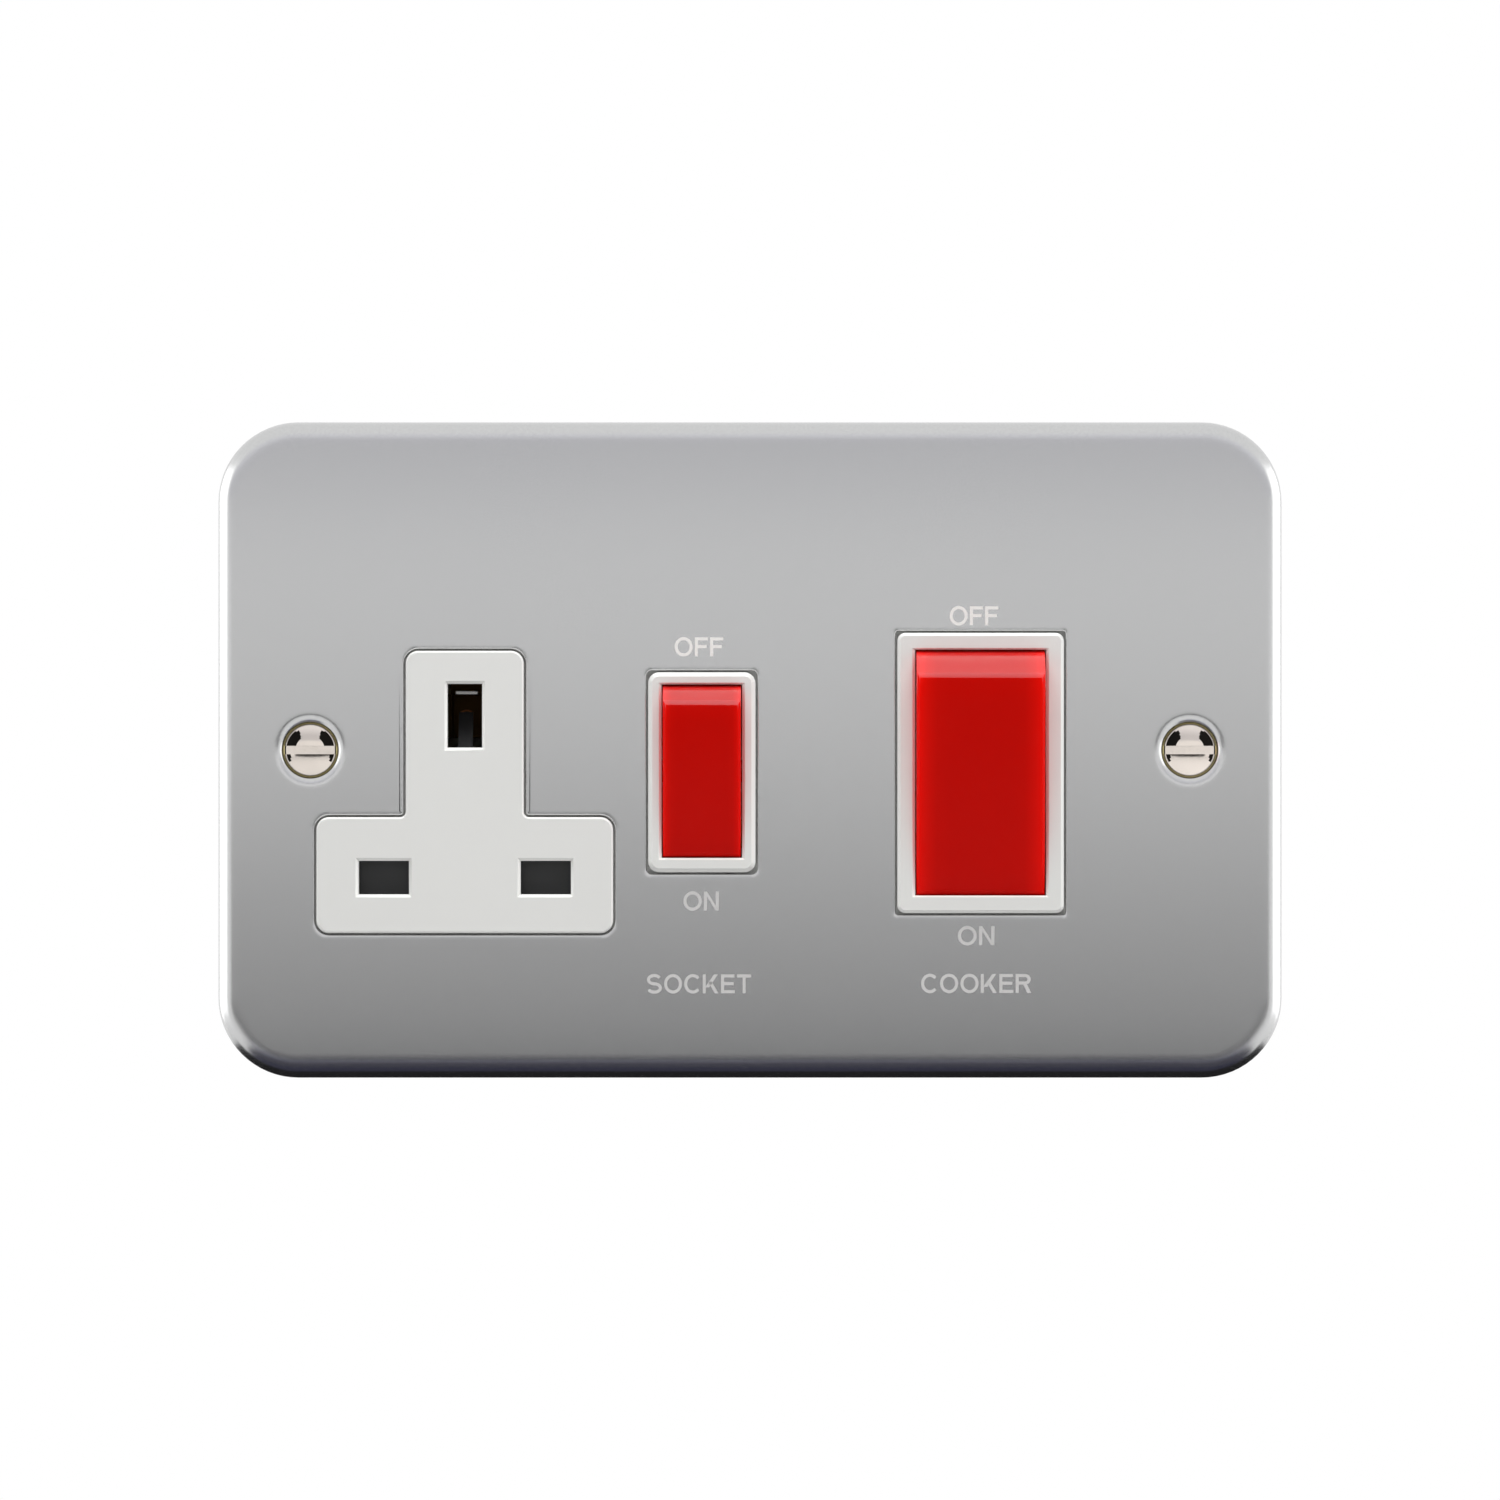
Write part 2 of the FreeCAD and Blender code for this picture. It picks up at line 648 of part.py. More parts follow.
def rocker_well(centre, opening, pivot, end_radius):
    radius = end_radius + ROCKER_END_GAP
    half = opening / 2
    pivot_y, pivot_z = pivot
    depth = pivot_y + BEARING_PAST_AXIS
    outer_half = radius + WELL_WALL
    outer_z = (pivot_z - outer_half, pivot_z + outer_half)
    outer = centred(centre, opening + 2 * WELL_WALL, (inner_y, depth), outer_z)
    bearings = []
    slots = []
    bearing_end = half + TRUNNION_LENGTH + BEARING_END_WALL
    for side in (-1, 1):
        near = centre + side * (half - 0.1)
        far = centre + side * bearing_end
        span = (min(near, far), max(near, far))
        bearing_z = (pivot_z - BEARING_HALF_HEIGHT, pivot_z + BEARING_HALF_HEIGHT)
        bearings.append(block(span, (inner_y, depth), bearing_z))
        seat_end = centre + side * (half + TRUNNION_LENGTH + TRUNNION_END_GAP)
        slot_x = (min(near, seat_end), max(near, seat_end))
        seat = TRUNNION_RADIUS + TRUNNION_GAP
        slots.append(rod_x(seat, slot_x, pivot_y, pivot_z))
        slots.append(block(slot_x, (pivot_y, depth + 1), (pivot_z - seat, pivot_z + seat)))
    swing = rod_x(radius, (centre - half, centre + half), pivot_y, pivot_z)
    behind = centred(centre, opening, (pivot_y, depth + 1), (pivot_z - radius, pivot_z + radius))
    return [outer] + bearings, [swing, behind] + slots


def raised_bezel(centre, lift, size, corner, bevel):
    slab = rounded_slab(centre, lift, size[0], size[1], corner, (bezel_y, flange_y))
    return bevelled_edges(slab, bevel, lambda e: lies_at(e, bezel_y))


def softened_mouth(body, centre, opening, pivot, end_radius):
    half = opening / 2
    reach = pivot[0] - bezel_y
    top = math.sqrt((end_radius + ROCKER_END_GAP) ** 2 - reach ** 2)

    def at_mouth(edge):
        box = edge.BoundBox
        inside = abs(box.Center.x - centre) < half + 0.05 and abs(box.Center.z - pivot[1]) < top + 0.05
        return lies_at(edge, bezel_y) and inside

    return body.makeChamfer(BEZEL_INNER_EDGE, [e for e in body.Edges if at_mouth(e)])


def pin_slots():
    earth = (T_CENTRE, earth_slot_z, EARTH_SLOT[0], EARTH_SLOT[1])
    return [earth] + [(x, LINE_SLOT_HEIGHT, LINE_SLOT[0], LINE_SLOT[1]) for x in line_slot_xs]


def slot_cutter(x, z, width, height):
    through = centred(x, width, (t_face_y - 1, flange_y + 1), (z - height / 2, z + height / 2))
    mouths = []
    for grow, y in ((SLOT_LEAD, t_face_y), (0, t_face_y + SLOT_LEAD)):
        half_x = width / 2 + grow
        half_z = height / 2 + grow
        corners = [V(x - half_x, y, z - half_z), V(x + half_x, y, z - half_z), V(x + half_x, y, z + half_z),
                   V(x - half_x, y, z + half_z)]
        mouths.append(Part.makePolygon(corners + corners[:1]))
    return through.fuse(Part.makeLoft(mouths, True, True))


def make_socket_front():
    adds, cuts = moulding_shell(socket_wire, SOCKET_LUGS + [EARTH_LUG], SOCKET_HOOKS)
    face = extruded(t_wire(0), (t_face_y, flange_y))
    core = extruded(t_wire(-FACE_WALL), (t_face_y + FACE_WALL, flange_y + 1))
    tunnels = []
    for x, z, width, height in pin_slots():
        tunnel_half = height / 2 + TUNNEL_WALL
        tunnel_y = (inner_y - 1, flange_y)
        tunnels.append(centred(x, width + 2 * TUNNEL_WALL, tunnel_y, (z - tunnel_half, z + tunnel_half)))
    core = core.cut(Part.makeCompound(tunnels))
    bezel = raised_bezel(SMALL_CENTRE, SMALL_BEZEL_LIFT, SMALL_BEZEL, SMALL_BEZEL_CORNER, SMALL_BEZEL_BEVEL)
    well, well_cuts = rocker_well(SMALL_CENTRE, SMALL_OPENING_WIDTH, SMALL_PIVOT, SMALL_END_RADIUS)
    adds += [face, bezel] + well
    body = joined(adds).cut(Part.makeCompound([core]))
    rail_inside = PIN_PITCH / 2 + LINE_SLOT[0] / 2 + SHUTTER_OVERLAP + RAIL_GAP
    rails = []
    for side in (-1, 1):
        near = T_CENTRE + side * rail_inside
        far = T_CENTRE + side * (rail_inside + RAIL)
        rail_x = (min(near, far), max(near, far))
        rails.append(block(rail_x, (flange_y, guard_y), (-half_height + WALL, T_ARM_HIGH)))
    post_z = (WINDOW_LOW + RAIL_GAP, SPRING_POST_HIGH)
    seat = centred(T_CENTRE, SPRING_POST_WIDTH, (t_face_y + FACE_WALL, shutter_rear), post_z)
    body = joined([body, seat] + rails)
    slots = [slot_cutter(*slot) for slot in pin_slots()]
    for cutter in cuts + well_cuts + slots:
        body = body.cut(cutter)
    return softened_mouth(body, SMALL_CENTRE, SMALL_OPENING_WIDTH, SMALL_PIVOT, SMALL_END_RADIUS)


def make_switch_front():
    adds, cuts = moulding_shell(switch_wire, SWITCH_LUGS, SWITCH_HOOKS)
    bezel = raised_bezel(LARGE_CENTRE, LARGE_BEZEL_LIFT, LARGE_BEZEL, LARGE_BEZEL_CORNER, LARGE_BEZEL_BEVEL)
    well, well_cuts = rocker_well(LARGE_CENTRE, LARGE_OPENING_WIDTH, LARGE_PIVOT, LARGE_END_RADIUS)
    body = joined(adds + [bezel] + well)
    for cutter in cuts + well_cuts:
        body = body.cut(cutter)
    return softened_mouth(body, LARGE_CENTRE, LARGE_OPENING_WIDTH, LARGE_PIVOT, LARGE_END_RADIUS)


# Rear housings
def keepers(centre, opening, pivot, floor):
    start = pivot[0] + TRUNNION_RADIUS + KEEPER_GAP
    ribs = []
    for side in (-1, 1):
        middle = centre + side * (opening / 2 + TRUNNION_LENGTH / 2)
        root = KEEPER_ROOT / 2
        tip = KEEPER_TIP / 2
        waist = pivot[0] + BEARING_PAST_AXIS + KEEPER_WAIST_GAP
        upper = [(floor, root), (waist, tip), (start, tip)]
        lower = [(y, -z) for y, z in reversed(upper)]
        points = [(y, pivot[1] + z) for y, z in upper + lower]
        ribs.append(side_strip(points, middle, TRUNNION_LENGTH - KEEPER_SIDE_ROOM))
    return ribs


def hook(x, side):
    wall = half_height - WALL - HOOK_GAP
    inside = wall - HOOK_THICKNESS
    root = PARTING_DEPTH + HOOK_ROOT
    barb = wall + HOOK_BARB
    barb_start = hook_end + HOOK_BARB_START
    barb_end = hook_end + HOOK_BARB_END
    foot = wall + HOOK_GAP
    points = [(root, foot), (PARTING_DEPTH, foot), (PARTING_DEPTH, wall), (barb_end, wall), (barb_end, barb),
              (barb_start, barb), (hook_end, wall), (hook_end, inside), (root, inside)]
    return side_strip([(y, side * z) for y, z in points], x, HOOK_WIDTH)


def base_shell(wire_of, rear, hooks):
    hollow = extruded(wire_of(WALL), (PARTING_DEPTH - 1, rear - WALL))
    shell = extruded(wire_of(0), (PARTING_DEPTH, rear)).cut(hollow)
    return [shell] + [hook(x, side) for x in hooks for side in (-1, 1)]


def make_socket_base():
    adds = base_shell(socket_wire, SOCKET_REAR, SOCKET_HOOKS)
    adds += keepers(SMALL_CENTRE, SMALL_OPENING_WIDTH, SMALL_PIVOT, socket_floor)
    for side in (-1, 1):
        x = T_CENTRE + side * BARRIER_OFFSET
        adds.append(centred(x, BARRIER, (guard_y, socket_floor), BARRIER_SPAN))
    pad_y = line_strap_y + STRIP
    strip_rear = strip_plane(SMALL_SEESAW, small_fulcrum) + STRIP
    for x, seat in ((neutral_x, pad_y), (live_x, max(pad_y, strip_rear))):
        pad = (LINE_SLOT_HEIGHT - PAD_HALF, LINE_SLOT_HEIGHT + PAD_HALF)
        adds.append(centred(x, LINE_LEAF_WIDTH, (seat, socket_floor), pad))
    fulcrum_z = small_fulcrum[1]
    upper = (fulcrum_z + SMALL_REST[0], fulcrum_z + SMALL_REST[1])
    lower = (live_link_low + LINK_HEIGHT + REST_GAP, fulcrum_z - REST_BELOW_FULCRUM)
    for rest in (upper, lower):
        adds.append(centred(SMALL_CENTRE, REST_WIDTH, (strip_rear, socket_floor), rest))
    earth_centre_y = earth_strap_y - EARTH_TERMINAL[1] / 2
    entry = EARTH_TUNNEL + ENTRY_ROOM
    entry_width = 2 * (EARTH_TUNNEL_OFFSET + entry)
    entry_y = (earth_centre_y - entry, earth_centre_y + entry)
    entry_z = (half_height - WALL - 1, half_height + 1)
    window = EARTH_SCREW + SCREW_WINDOW_ROOM
    window_width = 2 * (EARTH_TUNNEL_OFFSET + window)
    window_z = (TERMINAL_HEIGHT - window, TERMINAL_HEIGHT + window)
    cuts = [
        centred(T_CENTRE, entry_width, entry_y, entry_z),
        centred(T_CENTRE, window_width, (socket_floor - 1, SOCKET_REAR + 1), window_z),
    ]
    cuts += link_slots(SOCKET_RIGHT - WALL - 1, SOCKET_RIGHT + 1)
    body = joined(adds)
    for cutter in cuts:
        body = body.cut(cutter)
    return body


def make_switch_base():
    adds = base_shell(switch_wire, SWITCH_REAR, SWITCH_HOOKS)
    adds += keepers(LARGE_CENTRE, LARGE_OPENING_WIDTH, LARGE_PIVOT, switch_floor)
    wall_z = (-half_height + WALL, half_height - WALL)
    adds.append(centred(LARGE_CENTRE, POLE_WALL, (large_fulcrum[0] - POLE_WALL_REACH, switch_floor), wall_z))
    plane = strip_plane(LARGE_SEESAW, large_fulcrum) + STRIP
    for x in pole_xs:
        for low, high in POLE_RESTS:
            rest = (large_fulcrum[1] + low, large_fulcrum[1] + high)
            adds.append(centred(x, REST_WIDTH, (plane, switch_floor), rest))
    tunnel_y = plane - STRIP - TERMINAL[1] / 2
    cuts = []
    for x in terminal_xs:
        for side in (-1, 1):
            entry_z = side * (half_height - WALL / 2)
            entry = TERMINAL_TUNNEL + ENTRY_ROOM
            entry_y = (tunnel_y - entry, tunnel_y + entry)
            cuts.append(centred(x, 2 * entry, entry_y, (entry_z - WALL, entry_z + WALL)))
            window = TERMINAL_SCREW + SCREW_WINDOW_ROOM
            low = side * TERMINAL_HEIGHT - window
            cuts.append(centred(x, 2 * window, (switch_floor - 1, SWITCH_REAR + 1), (low, low + 2 * window)))
    cuts += link_slots(SWITCH_LEFT - 1, SWITCH_LEFT + WALL + 1)
    cuts += link_slots(LARGE_CENTRE - 1, LARGE_CENTRE + 1)[1:]
    body = joined(adds)
    for cutter in cuts:
        body = body.cut(cutter)
    return body


# Shutter: two wings on a stem, a window for the spring and a sloping tongue for the earth pin
def make_shutter():
    wing = PIN_PITCH / 2 + LINE_SLOT[0] / 2 + SHUTTER_OVERLAP
    low = LINE_SLOT_HEIGHT - LINE_SLOT[1] / 2 - WING_BELOW_SLOT
    high = LINE_SLOT_HEIGHT + LINE_SLOT[1] / 2 + WING_ABOVE_SLOT
    stem = SHUTTER_STEM / 2
    top = earth_slot_z - EARTH_SLOT[1] / 2 - TONGUE_ROOT_GAP
    right = [(wing, low), (wing, high), (stem, high), (stem, top)]
    points = right + [(-x, z) for x, z in reversed(right)]
    plate = blank([(T_CENTRE + x, z) for x, z in points], (shutter_front, shutter_rear))
    window_y = (shutter_front - 1, shutter_rear + 1)
    window = centred(T_CENTRE, SHUTTER_WINDOW, window_y, (WINDOW_LOW, WINDOW_HIGH))
    rear = shutter_front + TONGUE_DEPTH
    heel = TONGUE_HIGH - TONGUE_HEEL
    slope = [(shutter_front, top - TONGUE_ROOT), (shutter_front, top), (rear - TONGUE_TOE, TONGUE_HIGH),
             (rear, TONGUE_HIGH), (rear, heel), (shutter_rear, top - TONGUE_ROOT - TONGUE_HEEL)]
    tongue = side_strip(slope, T_CENTRE, TONGUE_WIDTH)
    return joined([plate.cut(window), tongue])


def make_shutter_spring():
    height = WINDOW_HIGH - SPRING_POST_HIGH - 2 * SPRING_END_GAP
    spring = coil(SHUTTER_SPRING_RADIUS, height, SHUTTER_SPRING_TURNS, SHUTTER_SPRING_WIRE)
    spring.translate(V(T_CENTRE, shutter_front + SPRING_SINK, SPRING_POST_HIGH + SPRING_END_GAP))
    return spring


# Square clearance hole in a strip for a clamp screw
def screw_hole(x, y, z, screw):
    half = screw + THREAD_GAP
    return centred(x, 2 * half, y, (z - half, z + half))


# Pin contacts: two flared leaves joined by a strap behind the pin's tip
def leaf_pair(x, z, gap, width, strap_y, strap):
    half = gap / 2
    outer = half + LEAF
    flare = half + LEAF_FLARE
    upper = [(strap_y, half), (LEAF_MOUTH + LEAF_FLARE_INSIDE, half), (LEAF_MOUTH, flare),
             (LEAF_MOUTH, flare + LEAF), (LEAF_MOUTH + LEAF_FLARE_OUTSIDE, outer), (strap_y + strap, outer)]
    lower = [(y, -h) for y, h in reversed(upper)]
    return side_strip([(y, z + h) for y, h in upper + lower], x, width)


def make_live_contact():
    plane = strip_plane(SMALL_SEESAW, small_fulcrum)
    gap = LINE_PIN[1] + PIN_GRIP_ROOM
    grip = leaf_pair(live_x, LINE_SLOT_HEIGHT, gap, LINE_LEAF_WIDTH, line_strap_y, STRIP)
    tip_z = small_fulcrum[1] + SMALL_SEESAW["tip"]
    riser_x = live_x + LINE_LEAF_WIDTH / 2
    tail_z = LINE_SLOT_HEIGHT
    half = ARM_WIDTH / 2
    left = riser_x - half
    right = riser_x + half
    end = SMALL_CENTRE + half
    arm = blank([(right, tip_z - half), (end, tip_z - half), (end, tip_z + half), (left, tip_z + half),
                 (left, tail_z), (right, tail_z)], (plane, plane + STRIP))
    step_y = (min(plane, line_strap_y), max(plane, line_strap_y) + STRIP)
    step = block((live_x, right), step_y, (tail_z - half, tail_z + half))
    return joined([grip, arm, step])


def make_neutral_contact():
    gap = LINE_PIN[1] + PIN_GRIP_ROOM
    grip = leaf_pair(neutral_x, LINE_SLOT_HEIGHT, gap, LINE_LEAF_WIDTH, line_strap_y, STRIP)
    top = LINE_SLOT_HEIGHT - LINE_PIN[1] / 2
    low = NEUTRAL_LINK_LOW
    high = low + NEUTRAL_LINK_HEIGHT
    strap = line_strap_y + STRIP
    points = [(line_strap_y, top), (line_strap_y, low + TAIL_BEND), (neutral_link_y - STRIP, low),
              (neutral_link_y, low), (neutral_link_y, high), (strap, high + TAIL_SLOPE), (strap, top)]
    tail = side_strip(points, neutral_x, LINE_LEAF_WIDTH)
    return joined([grip, tail])


def make_earth_contact():
    grip = leaf_pair(0, 0, EARTH_PIN[0] + PIN_GRIP_ROOM, EARTH_LEAF_WIDTH, earth_strap_y, STRIP)
    grip.rotate(V(0, 0, 0), V(0, 1, 0), 90)
    grip.translate(V(T_CENTRE, 0, earth_slot_z))
    half = EARTH_TERMINAL[0] / 2
    top = TERMINAL_HEIGHT + EARTH_TERMINAL[2] / 2
    low = TERMINAL_HEIGHT - EARTH_TERMINAL[2] / 2
    tab_right = EARTH_LUG[0] + LUG_WIDTH / 2
    left = T_CENTRE - EARTH_NECK / 2
    right = T_CENTRE + EARTH_NECK / 2
    far_left = T_CENTRE - half
    far_right = T_CENTRE + half
    points = [(left, earth_slot_z), (right, earth_slot_z), (right, low), (far_right, low),
              (tab_right, low + EARTH_SHOULDER), (tab_right, top), (far_left, top), (far_left, low),
              (left, low)]
    plate = blank(points, (earth_strap_y, earth_strap_y + STRIP))
    hole_y = (earth_strap_y - 1, earth_strap_y + 2)
    hole_xs = [T_CENTRE - EARTH_TUNNEL_OFFSET, T_CENTRE + EARTH_TUNNEL_OFFSET]
    holes = [screw_hole(x, hole_y, TERMINAL_HEIGHT, EARTH_SCREW) for x in hole_xs]
    return joined([grip, plate]).cut(Part.makeCompound(holes))


# Strap from the earth contact to the plate's earth lug
def make_earth_strap():
    x, z = EARTH_LUG
    top = z + STRAP_RISE
    foot = z - STRAP_FOOT
    tail = z - STRAP_TAIL
    front = flange_y
    rear = earth_strap_y
    points = [(front, foot), (front, top), (rear, top), (rear, tail), (rear - LEAF, tail),
              (rear - LEAF, top - LEAF), (front + LEAF, top - LEAF), (front + LEAF, foot)]
    strap = side_strip(points, x, STRAP_WIDTH)
    return strap.cut(lug_slot(x, z, (front - 1, front + 2), LUG_GAP))


# Terminal blocks with a square cable tunnel and a clamp screw from the rear
def terminal_block(x, z, rear_y, size, offsets, tunnel, screw):
    width, depth, height = size
    middle = rear_y - depth / 2
    body = centred(x, width, (rear_y - depth, rear_y), (z - height / 2, z + height / 2))
    for offset in offsets:
        way_y = (middle - tunnel, middle + tunnel)
        body = body.cut(centred(x + offset, 2 * tunnel, way_y, (z - height, z + height)))
        body = body.cut(rod_y(screw + THREAD_GAP, x + offset, (middle, rear_y + 1), z))
    return body


def make_earth_terminal():
    place = (T_CENTRE, TERMINAL_HEIGHT, earth_strap_y)
    offsets = [-EARTH_TUNNEL_OFFSET, EARTH_TUNNEL_OFFSET]
    return terminal_block(*place, EARTH_TERMINAL, offsets, EARTH_TUNNEL, EARTH_SCREW)


def clamp_screw(x, z, tip_y, rear_y, radius):
    shank = rod_y(radius, x, (tip_y, rear_y), z)
    slot_y = (rear_y - CLAMP_SLOT_DEPTH, rear_y + 1)
    slot = centred(x, 2 * radius + 1, slot_y, (z - CLAMP_SLOT / 2, z + CLAMP_SLOT / 2))
    return shank.cut(slot)


def make_terminal_screws():
    plane = strip_plane(LARGE_SEESAW, large_fulcrum)
    tip = plane - TERMINAL[1] / 2 + TERMINAL_TUNNEL + SCREW_TIP_GAP
    rear = plane + STRIP + TERMINAL_SCREW_PROUD
    places = [(x, z) for x in terminal_xs for z in (-TERMINAL_HEIGHT, TERMINAL_HEIGHT)]
    return Part.makeCompound([clamp_screw(x, z, tip, rear, TERMINAL_SCREW) for x, z in places])


def make_earth_terminal_screws():
    tip = earth_strap_y - EARTH_TERMINAL[1] / 2 + EARTH_TUNNEL + SCREW_TIP_GAP
    rear = earth_strap_y + STRIP + EARTH_SCREW_PROUD
    xs = [T_CENTRE - EARTH_TUNNEL_OFFSET, T_CENTRE + EARTH_TUNNEL_OFFSET]
    return Part.makeCompound([clamp_screw(x, TERMINAL_HEIGHT, tip, rear, EARTH_SCREW) for x in xs])


# Cradles and fixed contacts of the cooker switch, all blanked from one plane of strip
def pole_strip(pole, terminal, side, near_z):
    plane = strip_plane(LARGE_SEESAW, large_fulcrum)
    pad_near = TERMINAL_HEIGHT - TERMINAL[2] / 2 - PAD_MARGIN
    pad_far = TERMINAL_HEIGHT + TERMINAL[2] / 2
    inner = pole + math.copysign(SADDLE_HALF, LARGE_CENTRE - pole)
    outer = pole + math.copysign(SADDLE_HALF, pole - LARGE_CENTRE)
    far = terminal + math.copysign(TERMINAL[0] / 2, terminal - LARGE_CENTRE)
    points = [(inner, near_z), (inner, side * pad_far), (far, side * pad_far), (far, side * pad_near),
              (outer, side * (pad_near - PAD_MARGIN)), (outer, near_z)]
    strip = blank(points, (plane, plane + STRIP))
    hole_y = (plane - 1, plane + STRIP + 1)
    return strip.cut(screw_hole(terminal, hole_y, side * TERMINAL_HEIGHT, TERMINAL_SCREW))


def make_pole_cradle(index):
    pole = pole_xs[index]
    terminal = terminal_xs[index]
    plane = strip_plane(LARGE_SEESAW, large_fulcrum)
    strip = pole_strip(pole, terminal, -1, large_fulcrum[1] + SADDLE_HALF)
    half = LARGE_SEESAW["width"] / 2 + CRADLE_SIDE_GAP + CRADLE_EAR
    saddle_z = (large_fulcrum[1] - SADDLE_HALF, large_fulcrum[1] + SADDLE_HALF)
    saddle = centred(pole, 2 * half, (plane, plane + STRIP), saddle_z)
    pieces = [strip, saddle] + cradle_ears(LARGE_SEESAW, pole, large_fulcrum, plane)
    if index == 1:
        tab_z = (NEUTRAL_LINK_LOW, 0.5 - TERMINAL_HEIGHT - TERMINAL[2] / 2)
        pieces.append(centred(terminal, TERMINAL[0], (plane, plane + STRIP), tab_z))
    return joined(pieces)


def make_load_contact(index):
    near = large_fulcrum[1] + LARGE_SEESAW["tip"] - LARGE_SEESAW["tip_half"] - TIP_SEAT_MARGIN
    return pole_strip(pole_xs[index], terminal_xs[index], 1, near)


def make_pole_terminal(index, side):
    plane = strip_plane(LARGE_SEESAW, large_fulcrum)
    x = terminal_xs[index]
    return terminal_block(x, side * TERMINAL_HEIGHT, plane, TERMINAL, [0], TERMINAL_TUNNEL, TERMINAL_SCREW)


def make_socket_cradle():
    plane = strip_plane(SMALL_SEESAW, small_fulcrum)
    half = SMALL_SEESAW["width"] / 2 + CRADLE_SIDE_GAP + CRADLE_EAR
    base_z = (live_link_low, small_fulcrum[1] + SADDLE_HALF)
    base = centred(SMALL_CENTRE, 2 * half, (plane, plane + STRIP), base_z)
    return joined([base] + cradle_ears(SMALL_SEESAW, SMALL_CENTRE, small_fulcrum, plane))


# Links: flat bars from the supply strips of the switch to the socket
def make_live_link():
    near = strip_plane(SMALL_SEESAW, small_fulcrum) + STRIP
    far = strip_plane(LARGE_SEESAW, large_fulcrum)
    left = SMALL_CENTRE - LINK_LAP
    right = pole_xs[0] + LINK_END
    bend = SWITCH_LEFT + WALL + LINK_BEND_GAP
    rise = far - STRIP - near
    points = [(left, near), (bend, near), (bend + rise, far - STRIP), (right, far - STRIP), (right, far),
              (bend + rise - LINK_BEND, far), (bend - LINK_BEND, near + STRIP), (left, near + STRIP)]
    return top_strip(points, (live_link_low, live_link_low + LINK_HEIGHT))


def make_neutral_link():
    left = neutral_x - LINE_LEAF_WIDTH / 2
    right = terminal_xs[1] + LINK_LAP
    return block((left, right), (neutral_link_y, neutral_link_y + STRIP),
                 (NEUTRAL_LINK_LOW, NEUTRAL_LINK_LOW + NEUTRAL_LINK_HEIGHT))


def link_slots(x0, x1):
    near = strip_plane(SMALL_SEESAW, small_fulcrum) + STRIP
    room = LINK_SLOT_ROOM
    live_z = (live_link_low - room, live_link_low + LINK_HEIGHT + room)
    live = block((x0, x1), (near - room, near + STRIP + room), live_z)
    neutral = block((x0, x1), (neutral_link_y - room, neutral_link_y + STRIP + room),
                    (NEUTRAL_LINK_LOW - room / 2, NEUTRAL_LINK_LOW + NEUTRAL_LINK_HEIGHT + room))
    return [live, neutral]


small_fulcrum = (SMALL_FULCRUM_DEPTH, SMALL_PIVOT[1])
large_fulcrum = (LARGE_FULCRUM_DEPTH, LARGE_PIVOT[1])
neutral_link_y = strip_plane(LARGE_SEESAW, large_fulcrum) + STRIP


def main():
    os.makedirs("parts", exist_ok=True)
    save("front_plate", make_front_plate())
    save("retaining_clips", make_retaining_clips())
    save("fixing_screws", make_fixing_screws())
    save("socket_front", make_socket_front())
    save("switch_front", make_switch_front())
    save("socket_base", make_socket_base())
    save("switch_base", make_switch_base())
    save("shutter", make_shutter())
    save("shutter_spring", make_shutter_spring())
    save("live_contact", make_live_contact())
    save("neutral_contact", make_neutral_contact())
    save("earth_contact", make_earth_contact())
    save("earth_strap", make_earth_strap())
    save("earth_terminal", make_earth_terminal())
    save("earth_terminal_screws", make_earth_terminal_screws())
    small = (SMALL_CENTRE, SMALL_PIVOT, SMALL_PLUNGER_LENGTH)
    large = (LARGE_CENTRE, LARGE_PIVOT, LARGE_PLUNGER_LENGTH)
    small_face = (SMALL_OPENING_WIDTH, SMALL_END_RADIUS, SMALL_REACH)
    large_face = (LARGE_OPENING_WIDTH, LARGE_END_RADIUS, LARGE_REACH)
    save("socket_rocker", make_rocker(*small, *small_face, [0]))
    save("socket_plunger", make_plunger(*small, 0))
    save("socket_plunger_spring", make_plunger_spring(*small, 0))
    save("socket_moving_contact", make_seesaw(SMALL_SEESAW, SMALL_CENTRE, small_fulcrum))
    save("socket_moving_tip", make_moving_tip(SMALL_SEESAW, SMALL_CENTRE, small_fulcrum))
    save("socket_cradle", make_socket_cradle())
    save("cooker_rocker", make_rocker(*large, *large_face, [-POLE_OFFSET, POLE_OFFSET]))
    for index, name in enumerate(["live", "neutral"]):
        offset = pole_xs[index] - LARGE_CENTRE
        save(name + "_plunger", make_plunger(*large, offset))
        save(name + "_plunger_spring", make_plunger_spring(*large, offset))
        save(name + "_moving_contact", make_seesaw(LARGE_SEESAW, pole_xs[index], large_fulcrum))
        save(name + "_moving_tip", make_moving_tip(LARGE_SEESAW, pole_xs[index], large_fulcrum))
        save(name + "_cradle", make_pole_cradle(index))
        save(name + "_load_contact", make_load_contact(index))
        save(name + "_supply_terminal", make_pole_terminal(index, -1))
        save(name + "_load_terminal", make_pole_terminal(index, 1))
    tips = [make_fixed_tip(SMALL_SEESAW, SMALL_CENTRE, small_fulcrum)]
    tips += [make_fixed_tip(LARGE_SEESAW, x, large_fulcrum) for x in pole_xs]
    save("fixed_tips", Part.makeCompound(tips))
    save("terminal_screws", make_terminal_screws())
    save("live_link", make_live_link())
    save("neutral_link", make_neutral_link())


main()
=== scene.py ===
# Cooker control unit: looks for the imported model, in the CAD frame (X right, Z up, +Y into the wall)
import bpy
import bmesh
import json
import math
from mathutils import Matrix, Vector


